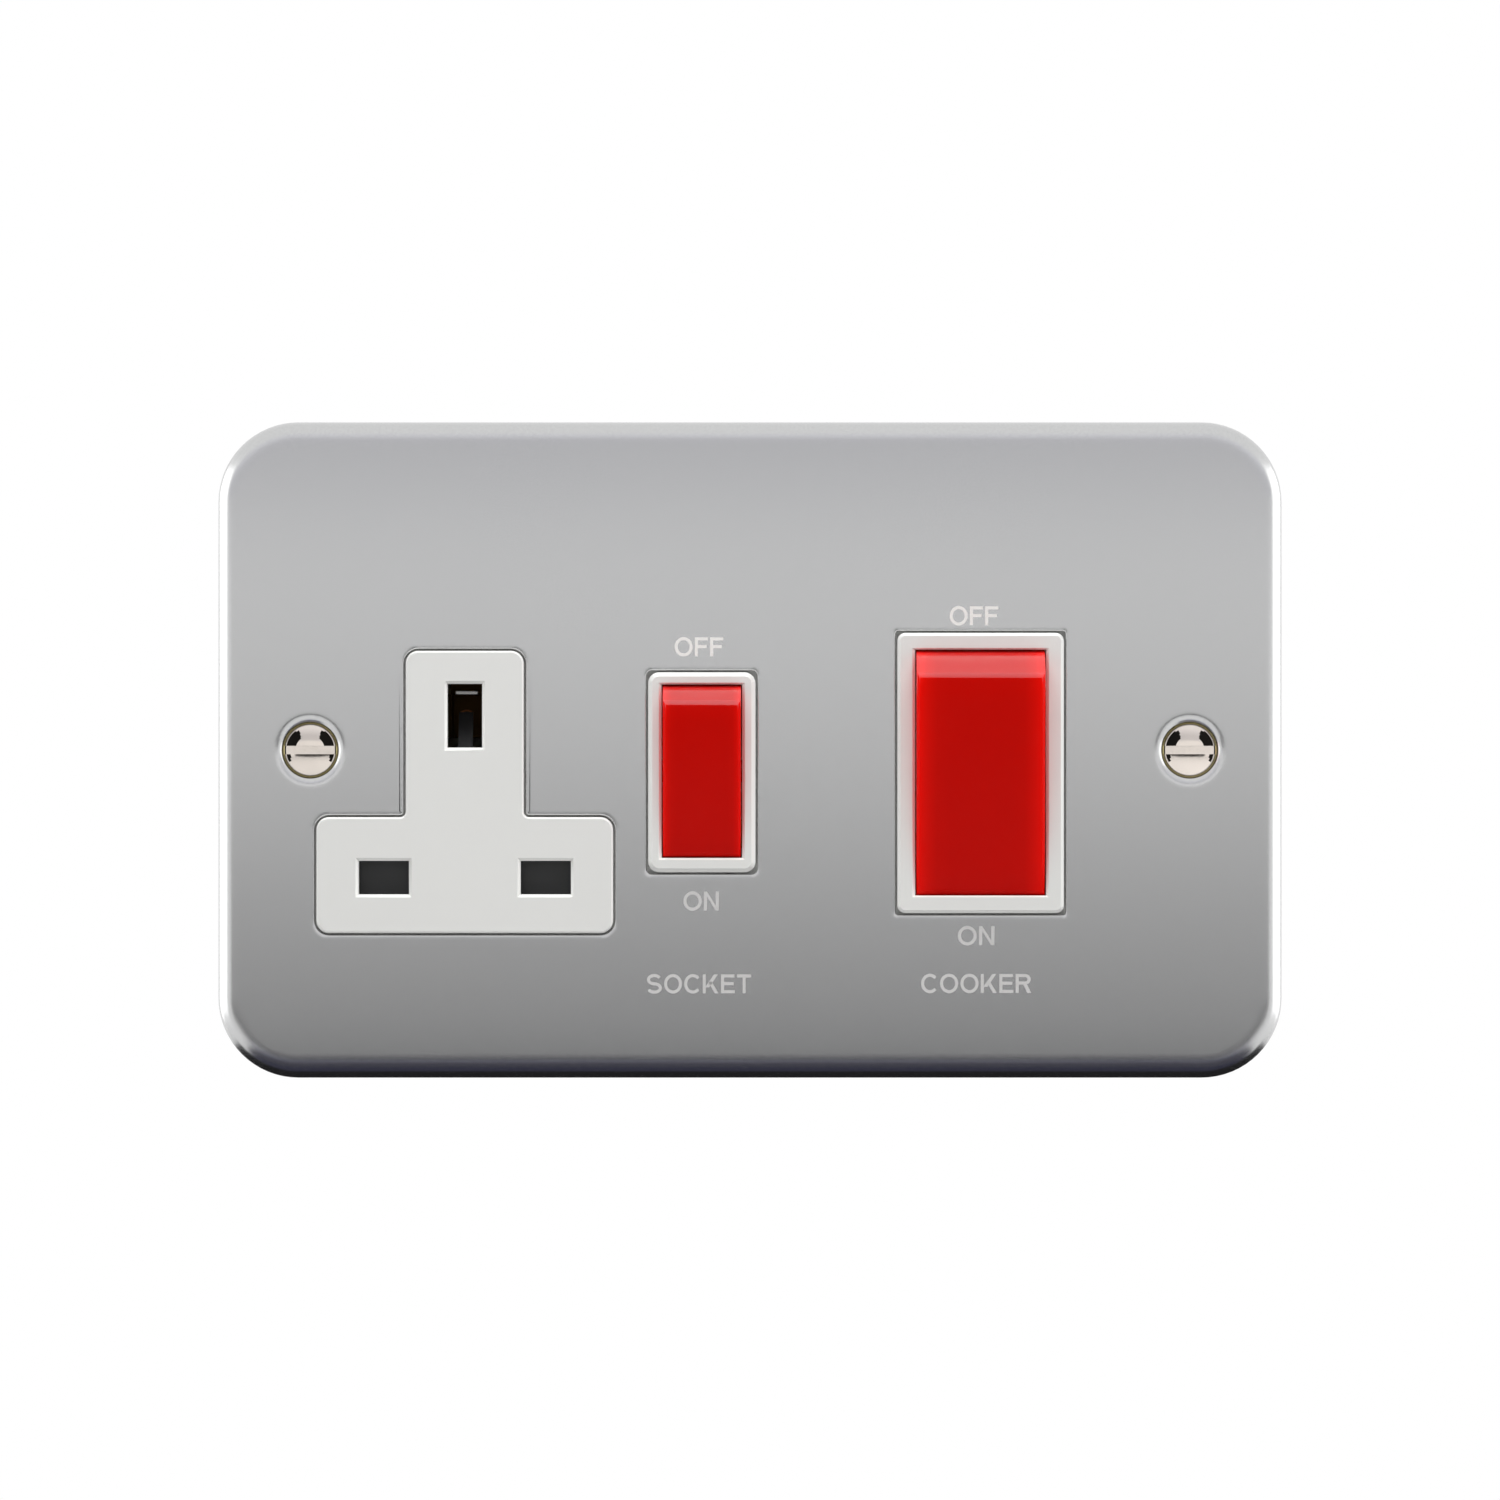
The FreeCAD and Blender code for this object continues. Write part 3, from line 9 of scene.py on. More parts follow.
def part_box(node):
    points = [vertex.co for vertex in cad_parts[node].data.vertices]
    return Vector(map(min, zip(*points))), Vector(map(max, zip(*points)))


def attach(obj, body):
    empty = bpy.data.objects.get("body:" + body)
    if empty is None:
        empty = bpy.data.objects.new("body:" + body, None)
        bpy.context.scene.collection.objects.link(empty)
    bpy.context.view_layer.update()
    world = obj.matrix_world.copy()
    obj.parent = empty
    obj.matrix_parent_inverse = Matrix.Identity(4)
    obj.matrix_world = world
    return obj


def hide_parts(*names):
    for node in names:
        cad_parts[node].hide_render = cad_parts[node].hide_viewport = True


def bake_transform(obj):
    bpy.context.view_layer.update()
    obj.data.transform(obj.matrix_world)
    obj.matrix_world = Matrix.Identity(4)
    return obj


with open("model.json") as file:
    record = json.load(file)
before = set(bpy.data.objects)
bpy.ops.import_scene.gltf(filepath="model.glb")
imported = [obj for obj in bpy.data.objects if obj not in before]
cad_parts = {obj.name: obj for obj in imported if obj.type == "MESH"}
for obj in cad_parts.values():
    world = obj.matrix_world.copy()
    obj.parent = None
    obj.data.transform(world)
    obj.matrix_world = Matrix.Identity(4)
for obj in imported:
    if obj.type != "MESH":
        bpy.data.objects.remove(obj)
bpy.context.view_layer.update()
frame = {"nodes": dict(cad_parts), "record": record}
nodes = frame["nodes"]
MM = 0.001

# Sizes shared with the CAD, in millimetres
PLATE_WIDTH = 146.0
PLATE_HEIGHT = 90.0
PLATE_CORNER = 11.0
PLATE_ROLL = 3.0
SHEET = 1.2
FACE_Y = -5.0
BACK_Y = FACE_Y + SHEET
FIXING_X = 60.3
DIMPLE_RADIUS = 5.05
HOLE_RADIUS = 2.15
SLOT_WIDTH = 1.15
SLOT_DEPTH = 1.3
SHANK_RADIUS = 1.75
SHANK_END_Y = 26.15
APERTURE_GAP = 0.25
T_CENTRE = -39.1
T_ARM = 20.35
T_STEM = 8.1
T_LOW = -25.1
T_ARM_HIGH = -9.2
T_TOP = 13.6
T_OUTER_CORNER = 1.75
T_INNER_CORNER = 0.75

# Each bezel: middle in x and z, width, height and corner radius
SMALL_BEZEL = (-6.6, -3.06, 14.7, 27.4, 1.5)
LARGE_BEZEL = (31.6, -3.15, 22.8, 38.4, 1.1)

# Each lug behind the plate: middle in x and z, and the y at which it ends
LUGS = [(-50.0, 24.0, 0), (-6.6, -26.0, 0), (10.8, -26.8, 0), (47.7, 26.8, 0), (-24.6, 24.0, 0.8)]
LUG_HALF_WIDTH = 2
LUG_HALF_THICKNESS = 0.5

# Finer sizes that only the scene has
ROLL_POWER = 2.4
FLAT_MARGIN = 0.4
OPENING_SOFTNESS = 0.22
OPENING_CORNER_CUT = 0.7
DIMPLE_LIP = 1.7
DIMPLE_SLOPE = 30
CUP_DEPTH = 0.7
BOSS_RADIUS = 4.2
HEAD_RADIUS = 3.85
HEAD_CLEARANCE = 0.1
DOME_RADIUS = 3.5
HEAD_RIM_Y = -4.15
HEAD_RISE = 0.85
HEAD_TOP_Y = HEAD_RIM_Y - HEAD_RISE
NECK_LENGTH = 1.2
TIP_RADIUS = 1.45
TIP_LENGTH = 0.6
THREAD_ROOT = 1.42
THREAD_PITCH = 0.6
THREAD_START_Y = 1.0

# How a fine copy of a CAD node is made: angles in degrees
WELD = 0.002
FLAT_ANGLE = 0.6
EDGE_ANGLE = 35
FACE_ROUND = 0.32

# Where the T's slots are: reach from its middle in x, and lowest and highest z
LINE_SLOTS = (15.8, -20.6, -14.0)
EARTH_SLOT = (3.6, -0.8, 10.0)


# Closed outlines of points, each corner rounded by its own radius
def outline(corners, steps=8):
    points = []
    count = len(corners)
    for i, (x, z, radius) in enumerate(corners):
        here = Vector((x, z))
        before = (Vector(corners[i - 1][:2]) - here).normalized()
        after = (Vector(corners[(i + 1) % count][:2]) - here).normalized()
        half = before.angle(after) / 2
        back = radius / math.tan(half)
        centre = here + (before + after).normalized() * (radius / math.sin(half))
        start = here + before * back - centre
        end = here + after * back - centre
        sweep = start.angle_signed(end)
        for k in range(steps + 1):
            turned = start.copy()
            turned.rotate(Matrix.Rotation(-sweep * k / steps, 2))
            points.append(tuple(centre + turned))
    return points


def rectangle(x, z, width, height, radius, steps=8):
    left = x - width / 2
    right = x + width / 2
    low = z - height / 2
    high = z + height / 2
    corners = [(left, low), (right, low), (right, high), (left, high)]
    return outline([(*corner, radius) for corner in corners], steps)


def t_shape(grow, steps=6):
    arm = T_ARM + grow
    stem = T_STEM + grow
    low = T_LOW - grow
    high = T_ARM_HIGH + grow
    top = T_TOP + grow
    outer = T_OUTER_CORNER + grow
    inner = T_INNER_CORNER - grow
    right = [(arm, low, outer), (arm, high, outer), (stem, high, inner), (stem, top, outer)]
    left = [(-x, z, radius) for x, z, radius in reversed(right)]
    return outline([(T_CENTRE + x, z, radius) for x, z, radius in right + left], steps)


def circle(x, z, radius, steps=64):
    turns = [2 * math.pi * k / steps for k in range(steps)]
    return [(x + radius * math.cos(turn), z + radius * math.sin(turn)) for turn in turns]


# Mesh building
def ring(bm, points, y):
    return [bm.verts.new((x * MM, y * MM, z * MM)) for x, z in points]


def bridge(bm, first, second):
    count = len(first)
    for i in range(count):
        j = (i + 1) % count
        bm.faces.new((first[i], first[j], second[j], second[i]))


def bridge_all(bm, rings):
    for first, second in zip(rings, rings[1:]):
        bridge(bm, first, second)


def lofted(bm, sections):
    rings = [ring(bm, points, y) for points, y in sections]
    bridge_all(bm, rings)
    return rings


def fill(bm, loops):
    edges = []
    for loop in loops:
        edges += [bm.edges.get(pair) for pair in zip(loop, loop[1:] + loop[:1])]
    bmesh.ops.triangle_fill(bm, use_beauty=True, edges=edges)


def add_block(bm, x, y, z):
    corners = [(x[0], z[0]), (x[1], z[0]), (x[1], z[1]), (x[0], z[1])]
    low = ring(bm, corners, y[0])
    high = ring(bm, corners, y[1])
    bridge(bm, low, high)
    bm.faces.new(low)
    bm.faces.new(high)


def finished(bm, name, material, sharp=30):
    bmesh.ops.recalc_face_normals(bm, faces=bm.faces)
    mesh = bpy.data.meshes.new(name)
    bm.to_mesh(mesh)
    bm.free()
    return dressed(mesh, name, material, sharp)


def dressed(mesh, name, material, sharp=30):
    piece = bpy.data.objects.new(name, mesh)
    bpy.context.scene.collection.objects.link(piece)
    mesh.materials.clear()
    mesh.materials.append(material)
    smooth(mesh, sharp)
    return piece


def smooth(mesh, sharp):
    mesh.shade_smooth()
    mesh.set_sharp_from_angle(angle=math.radians(sharp))


def add_bevel(piece, width, segments, limit):
    bevel = piece.modifiers.new("edge", "BEVEL")
    bevel.width = width * MM
    bevel.segments = segments
    bevel.limit_method = limit
    add_weighted_normals(piece)
    return bevel


def add_weighted_normals(piece):
    weighted = piece.modifiers.new("normals", "WEIGHTED_NORMAL")
    weighted.keep_sharp = True
    weighted.weight = 50


# Softens the edges that turn by more than an angle in degrees
def soften(piece, width, segments, angle):
    bevel = add_bevel(piece, width, segments, "ANGLE")
    bevel.angle_limit = math.radians(angle)


# Softens only some edges: those whose rounding the eye would see
def soften_some(piece, width, segments, wanted):
    mesh = piece.data
    weights = mesh.attributes.new("bevel_weight_edge", "FLOAT", "EDGE")
    for edge in mesh.edges:
        first, second = (mesh.vertices[i].co for i in edge.vertices)
        weights.data[edge.index].value = 1.0 if wanted(first, second) else 0.0
    add_bevel(piece, width, segments, "WEIGHT")


# A fine copy of a CAD node: flat faces joined again and its edges softened
def fine_copy(node, name, body, material, width, segments=3, wanted=None, rounded=None):
    mesh = nodes[node].data.copy()
    bm = bmesh.new()
    bm.from_mesh(mesh)
    bmesh.ops.remove_doubles(bm, verts=bm.verts, dist=WELD * MM)
    bmesh.ops.dissolve_limit(bm, angle_limit=math.radians(FLAT_ANGLE), verts=bm.verts, edges=bm.edges)
    if rounded:
        edges = [edge for edge in bm.edges if rounded(*(vertex.co for vertex in edge.verts))]
        bmesh.ops.bevel(bm, geom=edges, offset=FACE_ROUND * MM, segments=4, profile=0.5, affect="EDGES")
    bm.to_mesh(mesh)
    bm.free()
    piece = dressed(mesh, name, material)
    if wanted:
        soften_some(piece, width, segments, wanted)
    else:
        soften(piece, width, segments, EDGE_ANGLE)
    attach(piece, body)
    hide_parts(node)


# The long edges down the front of a rocker
def runs_down(first, second):
    along = second - first
    upright = abs(along.x) < 0.2 * along.length
    in_front = min(first.y, second.y) < -2 * MM
    return upright and in_front and along.length > 2 * MM


# Edges that lie in a face standing proud of the plate
def rims_a_face(first, second):
    proud = max(first.y, second.y) < (FACE_Y - 0.2) * MM
    return proud and abs(first.y - second.y) < 0.02 * MM


# The outline of the T face, without its three slots
def outlines_the_t(first, second):
    middle = (first + second) / (2 * MM)
    across = abs(middle.x - T_CENTRE)
    in_slots = any(across < reach and low < middle.z < high for reach, low, high in (LINE_SLOTS, EARTH_SLOT))
    return rims_a_face(first, second) and across < T_ARM + 2 and not in_slots


def rims_the_rest(first, second):
    return rims_a_face(first, second) and not outlines_the_t(first, second)


# Material nodes
def new_material(name):
    material = bpy.data.materials.new(name)
    material.use_nodes = True
    tree = material.node_tree
    return material, tree, tree.nodes["Principled BSDF"]


def link(tree, a, out, b, into):
    tree.links.new(a.outputs[out], b.inputs[into])


def noise(tree, place, scale, detail):
    texture = tree.nodes.new("ShaderNodeTexNoise")
    texture.inputs["Scale"].default_value = scale
    texture.inputs["Detail"].default_value = detail
    link(tree, place, "Object", texture, "Vector")
    return texture


def ramp(tree, source, out, stops):
    node = tree.nodes.new("ShaderNodeValToRGB")
    elements = node.color_ramp.elements
    for element, (position, colour) in zip(elements, (stops[0], stops[-1])):
        element.position = position
        element.color = (*colour, 1)
    for position, colour in stops[1:-1]:
        added = elements.new(position)
        added.color = (*colour, 1)
    link(tree, source, out, node, "Fac")
    return node


def grey_ramp(tree, source, out, stops):
    return ramp(tree, source, out, [(position, (level, level, level)) for position, level in stops])


def spread(tree, source, out, low, high, start=0.0, end=1.0):
    node = tree.nodes.new("ShaderNodeMapRange")
    node.inputs["From Min"].default_value = start
    node.inputs["From Max"].default_value = end
    node.inputs["To Min"].default_value = low
    node.inputs["To Max"].default_value = high
    link(tree, source, out, node, "Value")
    return node


def calculation(tree, operation, source, out, second=None):
    node = tree.nodes.new("ShaderNodeMath")
    node.operation = operation
    link(tree, source, out, node, 0)
    if second is not None:
        node.inputs[1].default_value = second
    return node


# Clouded colour, and a fine grain in roughness and height
def add_surface(tree, shader, cloud, colours, grain, rough, strength, depth):
    place = tree.nodes.new("ShaderNodeTexCoord")
    patches = noise(tree, place, *cloud)
    colour = ramp(tree, patches, "Fac", colours)
    link(tree, colour, "Color", shader, "Base Color")
    fine = noise(tree, place, grain, 2)
    roughness = spread(tree, fine, "Fac", *rough)
    link(tree, roughness, "Result", shader, "Roughness")
    bump = tree.nodes.new("ShaderNodeBump")
    bump.inputs["Strength"].default_value = strength
    bump.inputs["Distance"].default_value = depth * MM
    link(tree, fine, "Fac", bump, "Height")
    link(tree, bump, "Normal", shader, "Normal")


def metal(name, dark, light, rough, grain=2600, depth=0.01, cloud=90):
    material, tree, shader = new_material(name)
    shader.inputs["Metallic"].default_value = 1.0
    add_surface(tree, shader, (cloud, 4), [(0.35, dark), (0.65, light)], grain, rough, 0.35, depth)
    return material


def plastic(name, dark, light, rough, grain, depth=0.01):
    material, tree, shader = new_material(name)
    add_surface(tree, shader, (60, 3), [(0.3, dark), (0.7, light)], grain, rough, 0.25, depth)
    return material


# Multiplies a shader's colour by the colour of one more node
def tint(tree, shader, factor):
    colour = shader.inputs["Base Color"].links[0].from_node
    mixed = tree.nodes.new("ShaderNodeVectorMath")
    mixed.operation = "MULTIPLY"
    link(tree, colour, "Color", mixed, 0)
    link(tree, factor, "Color", mixed, 1)
    link(tree, mixed, "Vector", shader, "Base Color")


# The front mouldings: a painted highlight makes rounded edges that face up and to the right paler than flat
# faces
def white_plastic(name, painted_highlight_gain=1.2):
    material = plastic(name, (0.735, 0.735, 0.715), (0.745, 0.745, 0.725), (0.26, 0.32), 2600, 0.006)
    tree = material.node_tree
    shader = tree.nodes["Principled BSDF"]
    shader.inputs["Coat Weight"].default_value = 0.1
    shader.inputs["Coat Roughness"].default_value = 0.12
    # Painted highlight: the colour is raised on faces whose normal points up and to the right
    direction = tree.nodes.new("ShaderNodeVectorMath")
    direction.operation = "DOT_PRODUCT"
    direction.inputs[1].default_value = (0.7, 0, 0.7)
    link(tree, tree.nodes.new("ShaderNodeTexCoord"), "Normal", direction, 0)
    painted_highlight_amount = spread(tree, direction, "Value", 0, 1, end=0.7)
    tint(tree, shader, grey_ramp(tree, painted_highlight_amount, "Result", [(0.03, 1), (0.26, painted_highlight_gain), (0.85, painted_highlight_gain), (0.97, 1)]))
    return material


# The rockers: translucent, with a painted sheen where they face up, and a painted glow that makes them paler
# near their two sides
def red_plastic(name, centre, half_width, reach):
    material = plastic(name, (0.84, 0.0042, 0.0015), (0.87, 0.0052, 0.0021), (0.26, 0.32), 2600, 0.005)
    tree = material.node_tree
    shader = tree.nodes["Principled BSDF"]
    shader.inputs["Specular IOR Level"].default_value = 0.05
    shader.inputs["Subsurface Weight"].default_value = 0.4
    shader.inputs["Subsurface Radius"].default_value = (1.0, 0.1, 0.1)
    shader.inputs["Subsurface Scale"].default_value = 1.3 * MM
    shader.inputs["Coat Roughness"].default_value = 0.12
    shader.inputs["Coat IOR"].default_value = 2.1
    source = tree.nodes.new("ShaderNodeTexCoord")
    facing = tree.nodes.new("ShaderNodeSeparateXYZ")
    link(tree, source, "Normal", facing, "Vector")
    # Painted sheen: coat only on faces that point up
    painted_top_sheen = spread(tree, facing, "Z", 0, 1, 0.25, 0.4)
    link(tree, painted_top_sheen, "Result", shader, "Coat Weight")
    # Painted glow: the colour grows paler towards the rocker's two sides
    place = tree.nodes.new("ShaderNodeSeparateXYZ")
    link(tree, source, "Object", place, "Vector")
    offset = calculation(tree, "SUBTRACT", place, "X", centre * MM)
    distance = calculation(tree, "ABSOLUTE", offset, "Value")
    painted_glow_nearness = spread(tree, distance, "Value", 0, 1, (half_width - reach) * MM, half_width * MM)
    stops = [(0, 0.645), (0.4, 0.67), (0.7, 0.79), (0.9, 0.93), (1, 1)]
    tint(tree, shader, grey_ramp(tree, painted_glow_nearness, "Result", stops))
    return material


# Materials, and the CAD's slots that they finish
plate_metal = metal("satin_plate", (0.585, 0.587, 0.588), (0.61, 0.612, 0.613), (0.23, 0.28),
                    grain=6000, depth=0.004, cloud=3200)
screw_metal = metal("bright_screw", (0.73, 0.665, 0.605), (0.84, 0.765, 0.70), (0.10, 0.17), 1500)
# A near-black metal for the painted dark reflections on the screw domes
painted_reflection_screw = metal("screw_painted_reflection", (0.010, 0.009, 0.008), (0.016, 0.014, 0.012), (0.3, 0.4), 1500)
rim_metal = metal("screw_rim", (0.30, 0.26, 0.13), (0.38, 0.33, 0.18), (0.2, 0.3), 1500)
brass = metal("brass", (0.60, 0.40, 0.14), (0.68, 0.46, 0.18), (0.26, 0.38))
# Brass here and copper below, darkened as painted shade for the parts deep in the earth slot
painted_shade_brass = metal("brass_painted_shade", (0.10, 0.055, 0.02), (0.14, 0.08, 0.03), (0.5, 0.65))
copper = metal("copper", (0.64, 0.30, 0.17), (0.72, 0.37, 0.22), (0.24, 0.38))
painted_shade_copper = metal("painted_shade_copper", (0.17, 0.06, 0.02), (0.22, 0.09, 0.04), (0.3, 0.4))
silver = metal("silver", (0.74, 0.73, 0.70), (0.82, 0.81, 0.78), (0.28, 0.40))
spring_steel = metal("spring_steel", (0.38, 0.38, 0.38), (0.46, 0.46, 0.45), (0.24, 0.34))
plated_steel = metal("plated_steel", (0.56, 0.54, 0.46), (0.64, 0.62, 0.54), (0.26, 0.38))
white_front = white_plastic("white_front")
white_rear = plastic("white_rear", (0.68, 0.68, 0.65), (0.70, 0.70, 0.67), (0.45, 0.55), 3600)
small_red = red_plastic("small_red", SMALL_BEZEL[0], 5.4, 2.0)
large_red = red_plastic("large_red", LARGE_BEZEL[0], 8.7, 4.5)
grey = plastic("grey_shutter", (0.026, 0.026, 0.028), (0.030, 0.030, 0.032), (0.4, 0.5), 3200)
nylon = plastic("nylon", (0.72, 0.69, 0.58), (0.76, 0.73, 0.62), (0.35, 0.5), 2400)
print_bright = plastic("print_bright", (0.80, 0.79, 0.77), (0.82, 0.81, 0.79), (0.5, 0.6), 3000, 0.005)
print_soft = plastic("print_soft", (0.56, 0.55, 0.545), (0.58, 0.57, 0.565), (0.5, 0.6), 3000, 0.005)

by_slot = {
    "satin_metal": plate_metal,
    "bright_metal": screw_metal,
    "white_moulding": white_front,
    "rear_moulding": white_rear,
    "red_moulding": small_red,
    "grey_moulding": grey,
    "nylon": nylon,
    "brass": brass,
    "copper": copper,
    "silver": silver,
    "spring_steel": spring_steel,
    "plated_steel": plated_steel,
}
slot_of = {part["node"]: part["material_slot"] for part in frame["record"]["subparts"]}
for name, node in nodes.items():
    node.data.materials.clear()
    node.data.materials.append(by_slot[slot_of[name]])
# The earth contact, seen through its slot, is brass darkened as painted shade
nodes["earth_contact"].data.materials[0] = painted_shade_brass


# Front plate: one pressed sheet with rolled edges, its openings and two dimples
def plate_sections(inset, roll, steps=14):
    def section(shift, y):
        width = PLATE_WIDTH - 2 * inset - 2 * shift
        height = PLATE_HEIGHT - 2 * inset - 2 * shift
        return rectangle(0, 0, width, height, PLATE_CORNER - inset - shift, 16), y

    start_y = FACE_Y + inset + roll
    sections = [section(0, 0)]
    for k in range(steps + 1):
        angle = math.pi / 2 * k / steps
        shift = roll * (1 - max(math.cos(angle), 0) ** (2 / ROLL_POWER))
        sections.append(section(shift, start_y - roll * math.sin(angle) ** (2 / ROLL_POWER)))
    sections.append(section(roll + FLAT_MARGIN, FACE_Y + inset))
    return sections


def dimple_profile(steps=6):
    profile = [(DIMPLE_RADIUS + FLAT_MARGIN, FACE_Y)]
    for k in range(steps + 1):
        angle = math.radians(DIMPLE_SLOPE * k / steps)
        radius = DIMPLE_RADIUS - DIMPLE_LIP * math.sin(angle)
        y = FACE_Y + DIMPLE_LIP * (1 - math.cos(angle))
        profile.append((radius, y))
    wall = HEAD_RADIUS + HEAD_CLEARANCE
    seat_y = y + (radius - wall) * math.tan(math.radians(DIMPLE_SLOPE))
    cup_end = FACE_Y + DIMPLE_RADIUS - HOLE_RADIUS
    profile += [(wall, seat_y), (wall - 0.04, seat_y + 0.05), (wall - 0.06, seat_y + CUP_DEPTH)]
    profile += [(HOLE_RADIUS, cup_end - 0.02), (HOLE_RADIUS, cup_end), (BOSS_RADIUS, cup_end)]
    profile += [(DIMPLE_RADIUS, cup_end - CUP_DEPTH), (DIMPLE_RADIUS, BACK_Y)]
    return profile


def opening_sections(shape, steps=4):
    sections = [(shape(APERTURE_GAP + OPENING_SOFTNESS + FLAT_MARGIN), FACE_Y)]
    for k in range(steps + 1):
        angle = math.pi / 2 * k / steps
        grow = APERTURE_GAP + OPENING_SOFTNESS * (1 - math.sin(angle))
        sections.append((shape(grow), FACE_Y + OPENING_SOFTNESS * (1 - math.cos(angle))))
    sections.append((shape(APERTURE_GAP), BACK_Y))
    return sections


def bezel_shape(x, z, width, height, radius):
    corner = radius - OPENING_CORNER_CUT - APERTURE_GAP
    return lambda grow: rectangle(x, z, width + 2 * grow, height + 2 * grow, corner + grow)


def make_plate():
    bm = bmesh.new()
    outside = [ring(bm, points, y) for points, y in plate_sections(0, PLATE_ROLL)]
    inside = [ring(bm, points, y) for points, y in plate_sections(SHEET, PLATE_ROLL - SHEET)]
    bridge_all(bm, outside)
    bridge_all(bm, inside)
    bridge(bm, outside[0], inside[0])
    front = [outside[-1]]
    rear = [inside[-1]]
    shapes = (t_shape, bezel_shape(*SMALL_BEZEL), bezel_shape(*LARGE_BEZEL))
    holes = [opening_sections(shape) for shape in shapes]
    for x in (-FIXING_X, FIXING_X):
        holes.append([(circle(x, 0, radius), y) for radius, y in dimple_profile()])
    for sections in holes:
        rings = lofted(bm, sections)
        front.append(rings[0])
        rear.append(rings[-1])
    fill(bm, front)
    fill(bm, rear)
    for x, z, end_y in LUGS:
        width = (x - LUG_HALF_WIDTH, x + LUG_HALF_WIDTH)
        add_block(bm, width, (BACK_Y, end_y), (z - LUG_HALF_THICKNESS, z + LUG_HALF_THICKNESS))
    piece = finished(bm, "plate", plate_metal, 40)
    add_weighted_normals(piece)
    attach(piece, "housing")
    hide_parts("front_plate")


# Fixing screws: domed slotted heads, their rims and threaded shanks
def screw_profile(steps=18):
    sphere = (DOME_RADIUS ** 2 + HEAD_RISE ** 2) / (2 * HEAD_RISE)
    spread_angle = math.asin(DOME_RADIUS / sphere)
    profile = []
    for k in range(1, steps + 1):
        angle = spread_angle * k / steps
        profile.append((sphere * math.sin(angle), HEAD_TOP_Y + sphere * (1 - math.cos(angle))))
    neck_y = HEAD_RIM_Y + HEAD_RADIUS - SHANK_RADIUS
    neck_end = neck_y + NECK_LENGTH
    profile += [(DOME_RADIUS, HEAD_RIM_Y + 0.3), (SHANK_RADIUS, neck_y), (SHANK_RADIUS, neck_end)]
    profile += [(TIP_RADIUS, neck_end + 0.3), (TIP_RADIUS, SHANK_END_Y - TIP_LENGTH), (1.0, SHANK_END_Y)]
    return profile


def add_screw(bm, x, steps=96):
    rings = lofted(bm, [(circle(x, 0, radius, steps), y) for radius, y in screw_profile()])
    bm.faces.new(rings[0])
    bm.faces.new(rings[-1])


# The plain brass-coloured rim around a dome
def add_rim(bm, x):
    inside = DOME_RADIUS + 0.03
    y = HEAD_RIM_Y
    profile = [(inside, y + 0.3), (inside, y + 0.08), (inside + 0.12, y - 0.02)]
    profile += [(HEAD_RADIUS - 0.1, y + 0.02), (HEAD_RADIUS, y + 0.14), (HEAD_RADIUS - 0.25, y + 0.42)]
    rings = lofted(bm, [(circle(x, 0, radius), level) for radius, level in profile])
    bridge(bm, rings[-1], rings[0])


def add_thread(bm, x, start_y, end_y, steps=24):
    count = int((end_y - start_y) / THREAD_PITCH * steps)
    crest = SHANK_RADIUS - 0.03
    shape = [(THREAD_ROOT, -0.28), (crest, -0.05), (crest, 0.05), (THREAD_ROOT, 0.28)]
    rows = []
    for k in range(count + 1):
        angle = 2 * math.pi * k / steps
        y = start_y + THREAD_PITCH * k / steps
        row = []
        for radius, shift in shape:
            place = ((x + radius * math.cos(angle)) * MM, (y + shift) * MM, radius * math.sin(angle) * MM)
            row.append(bm.verts.new(place))
        rows.append(row)
    bridge_all(bm, rows)
    bm.faces.new(rows[0])
    bm.faces.new(rows[-1])


# Painted reflections of dark surroundings on a dome: a dark wedge at each side above its slot, and a dark
# sliver at each side below it
def in_painted_reflection(x, y, z):
    across = abs(abs(x) - FIXING_X)
    radius = math.hypot(across, z)
    edge = SLOT_WIDTH / 2 - 0.025
    outer = DOME_RADIUS - 0.18
    above = edge < z < 2.6 and 1.3 + 0.12 * (z - 1.6) ** 2 < across and 1.95 < radius < outer
    below = -1.7 < z < -edge and 2.7 - 0.35 * (z + 0.6) < radius < outer
    return y < HEAD_RIM_Y + 0.1 and (above or below)


def carved(piece, cutter):
    cut = piece.modifiers.new("slot", "BOOLEAN")
    cut.object = cutter
    cut.solver = "EXACT"
    bpy.context.view_layer.update()
    mesh = bpy.data.meshes.new_from_object(piece.evaluated_get(bpy.context.evaluated_depsgraph_get()))
    piece.modifiers.clear()
    return mesh


def make_heads():
    bm = bmesh.new()
    cutters = bmesh.new()
    for x in (-FIXING_X, FIXING_X):
        add_screw(bm, x)
        slot_y = (HEAD_TOP_Y - 1, HEAD_TOP_Y + SLOT_DEPTH)
        add_block(cutters, (x - 6, x + 6), slot_y, (-SLOT_WIDTH / 2, SLOT_WIDTH / 2))
    cutter = finished(cutters, "slot_cutter", screw_metal)
    heads = finished(bm, "fixing_screw_heads", screw_metal)
    heads.data = carved(heads, cutter)
    bpy.data.objects.remove(cutter)
    heads.data.materials.append(painted_reflection_screw)
    # Faces inside the painted reflections take the near-black metal
    for face in heads.data.polygons:
        if in_painted_reflection(*(face.center / MM)):
            face.material_index = 1
    smooth(heads.data, 30)
    soften(heads, 0.07, 2, 50)
    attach(heads, "housing")
    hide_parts("fixing_screws")


def make_rims():
    bm = bmesh.new()
    for x in (-FIXING_X, FIXING_X):
        add_rim(bm, x)
    rims = finished(bm, "fixing_screw_rims", rim_metal)
    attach(rims, "housing")


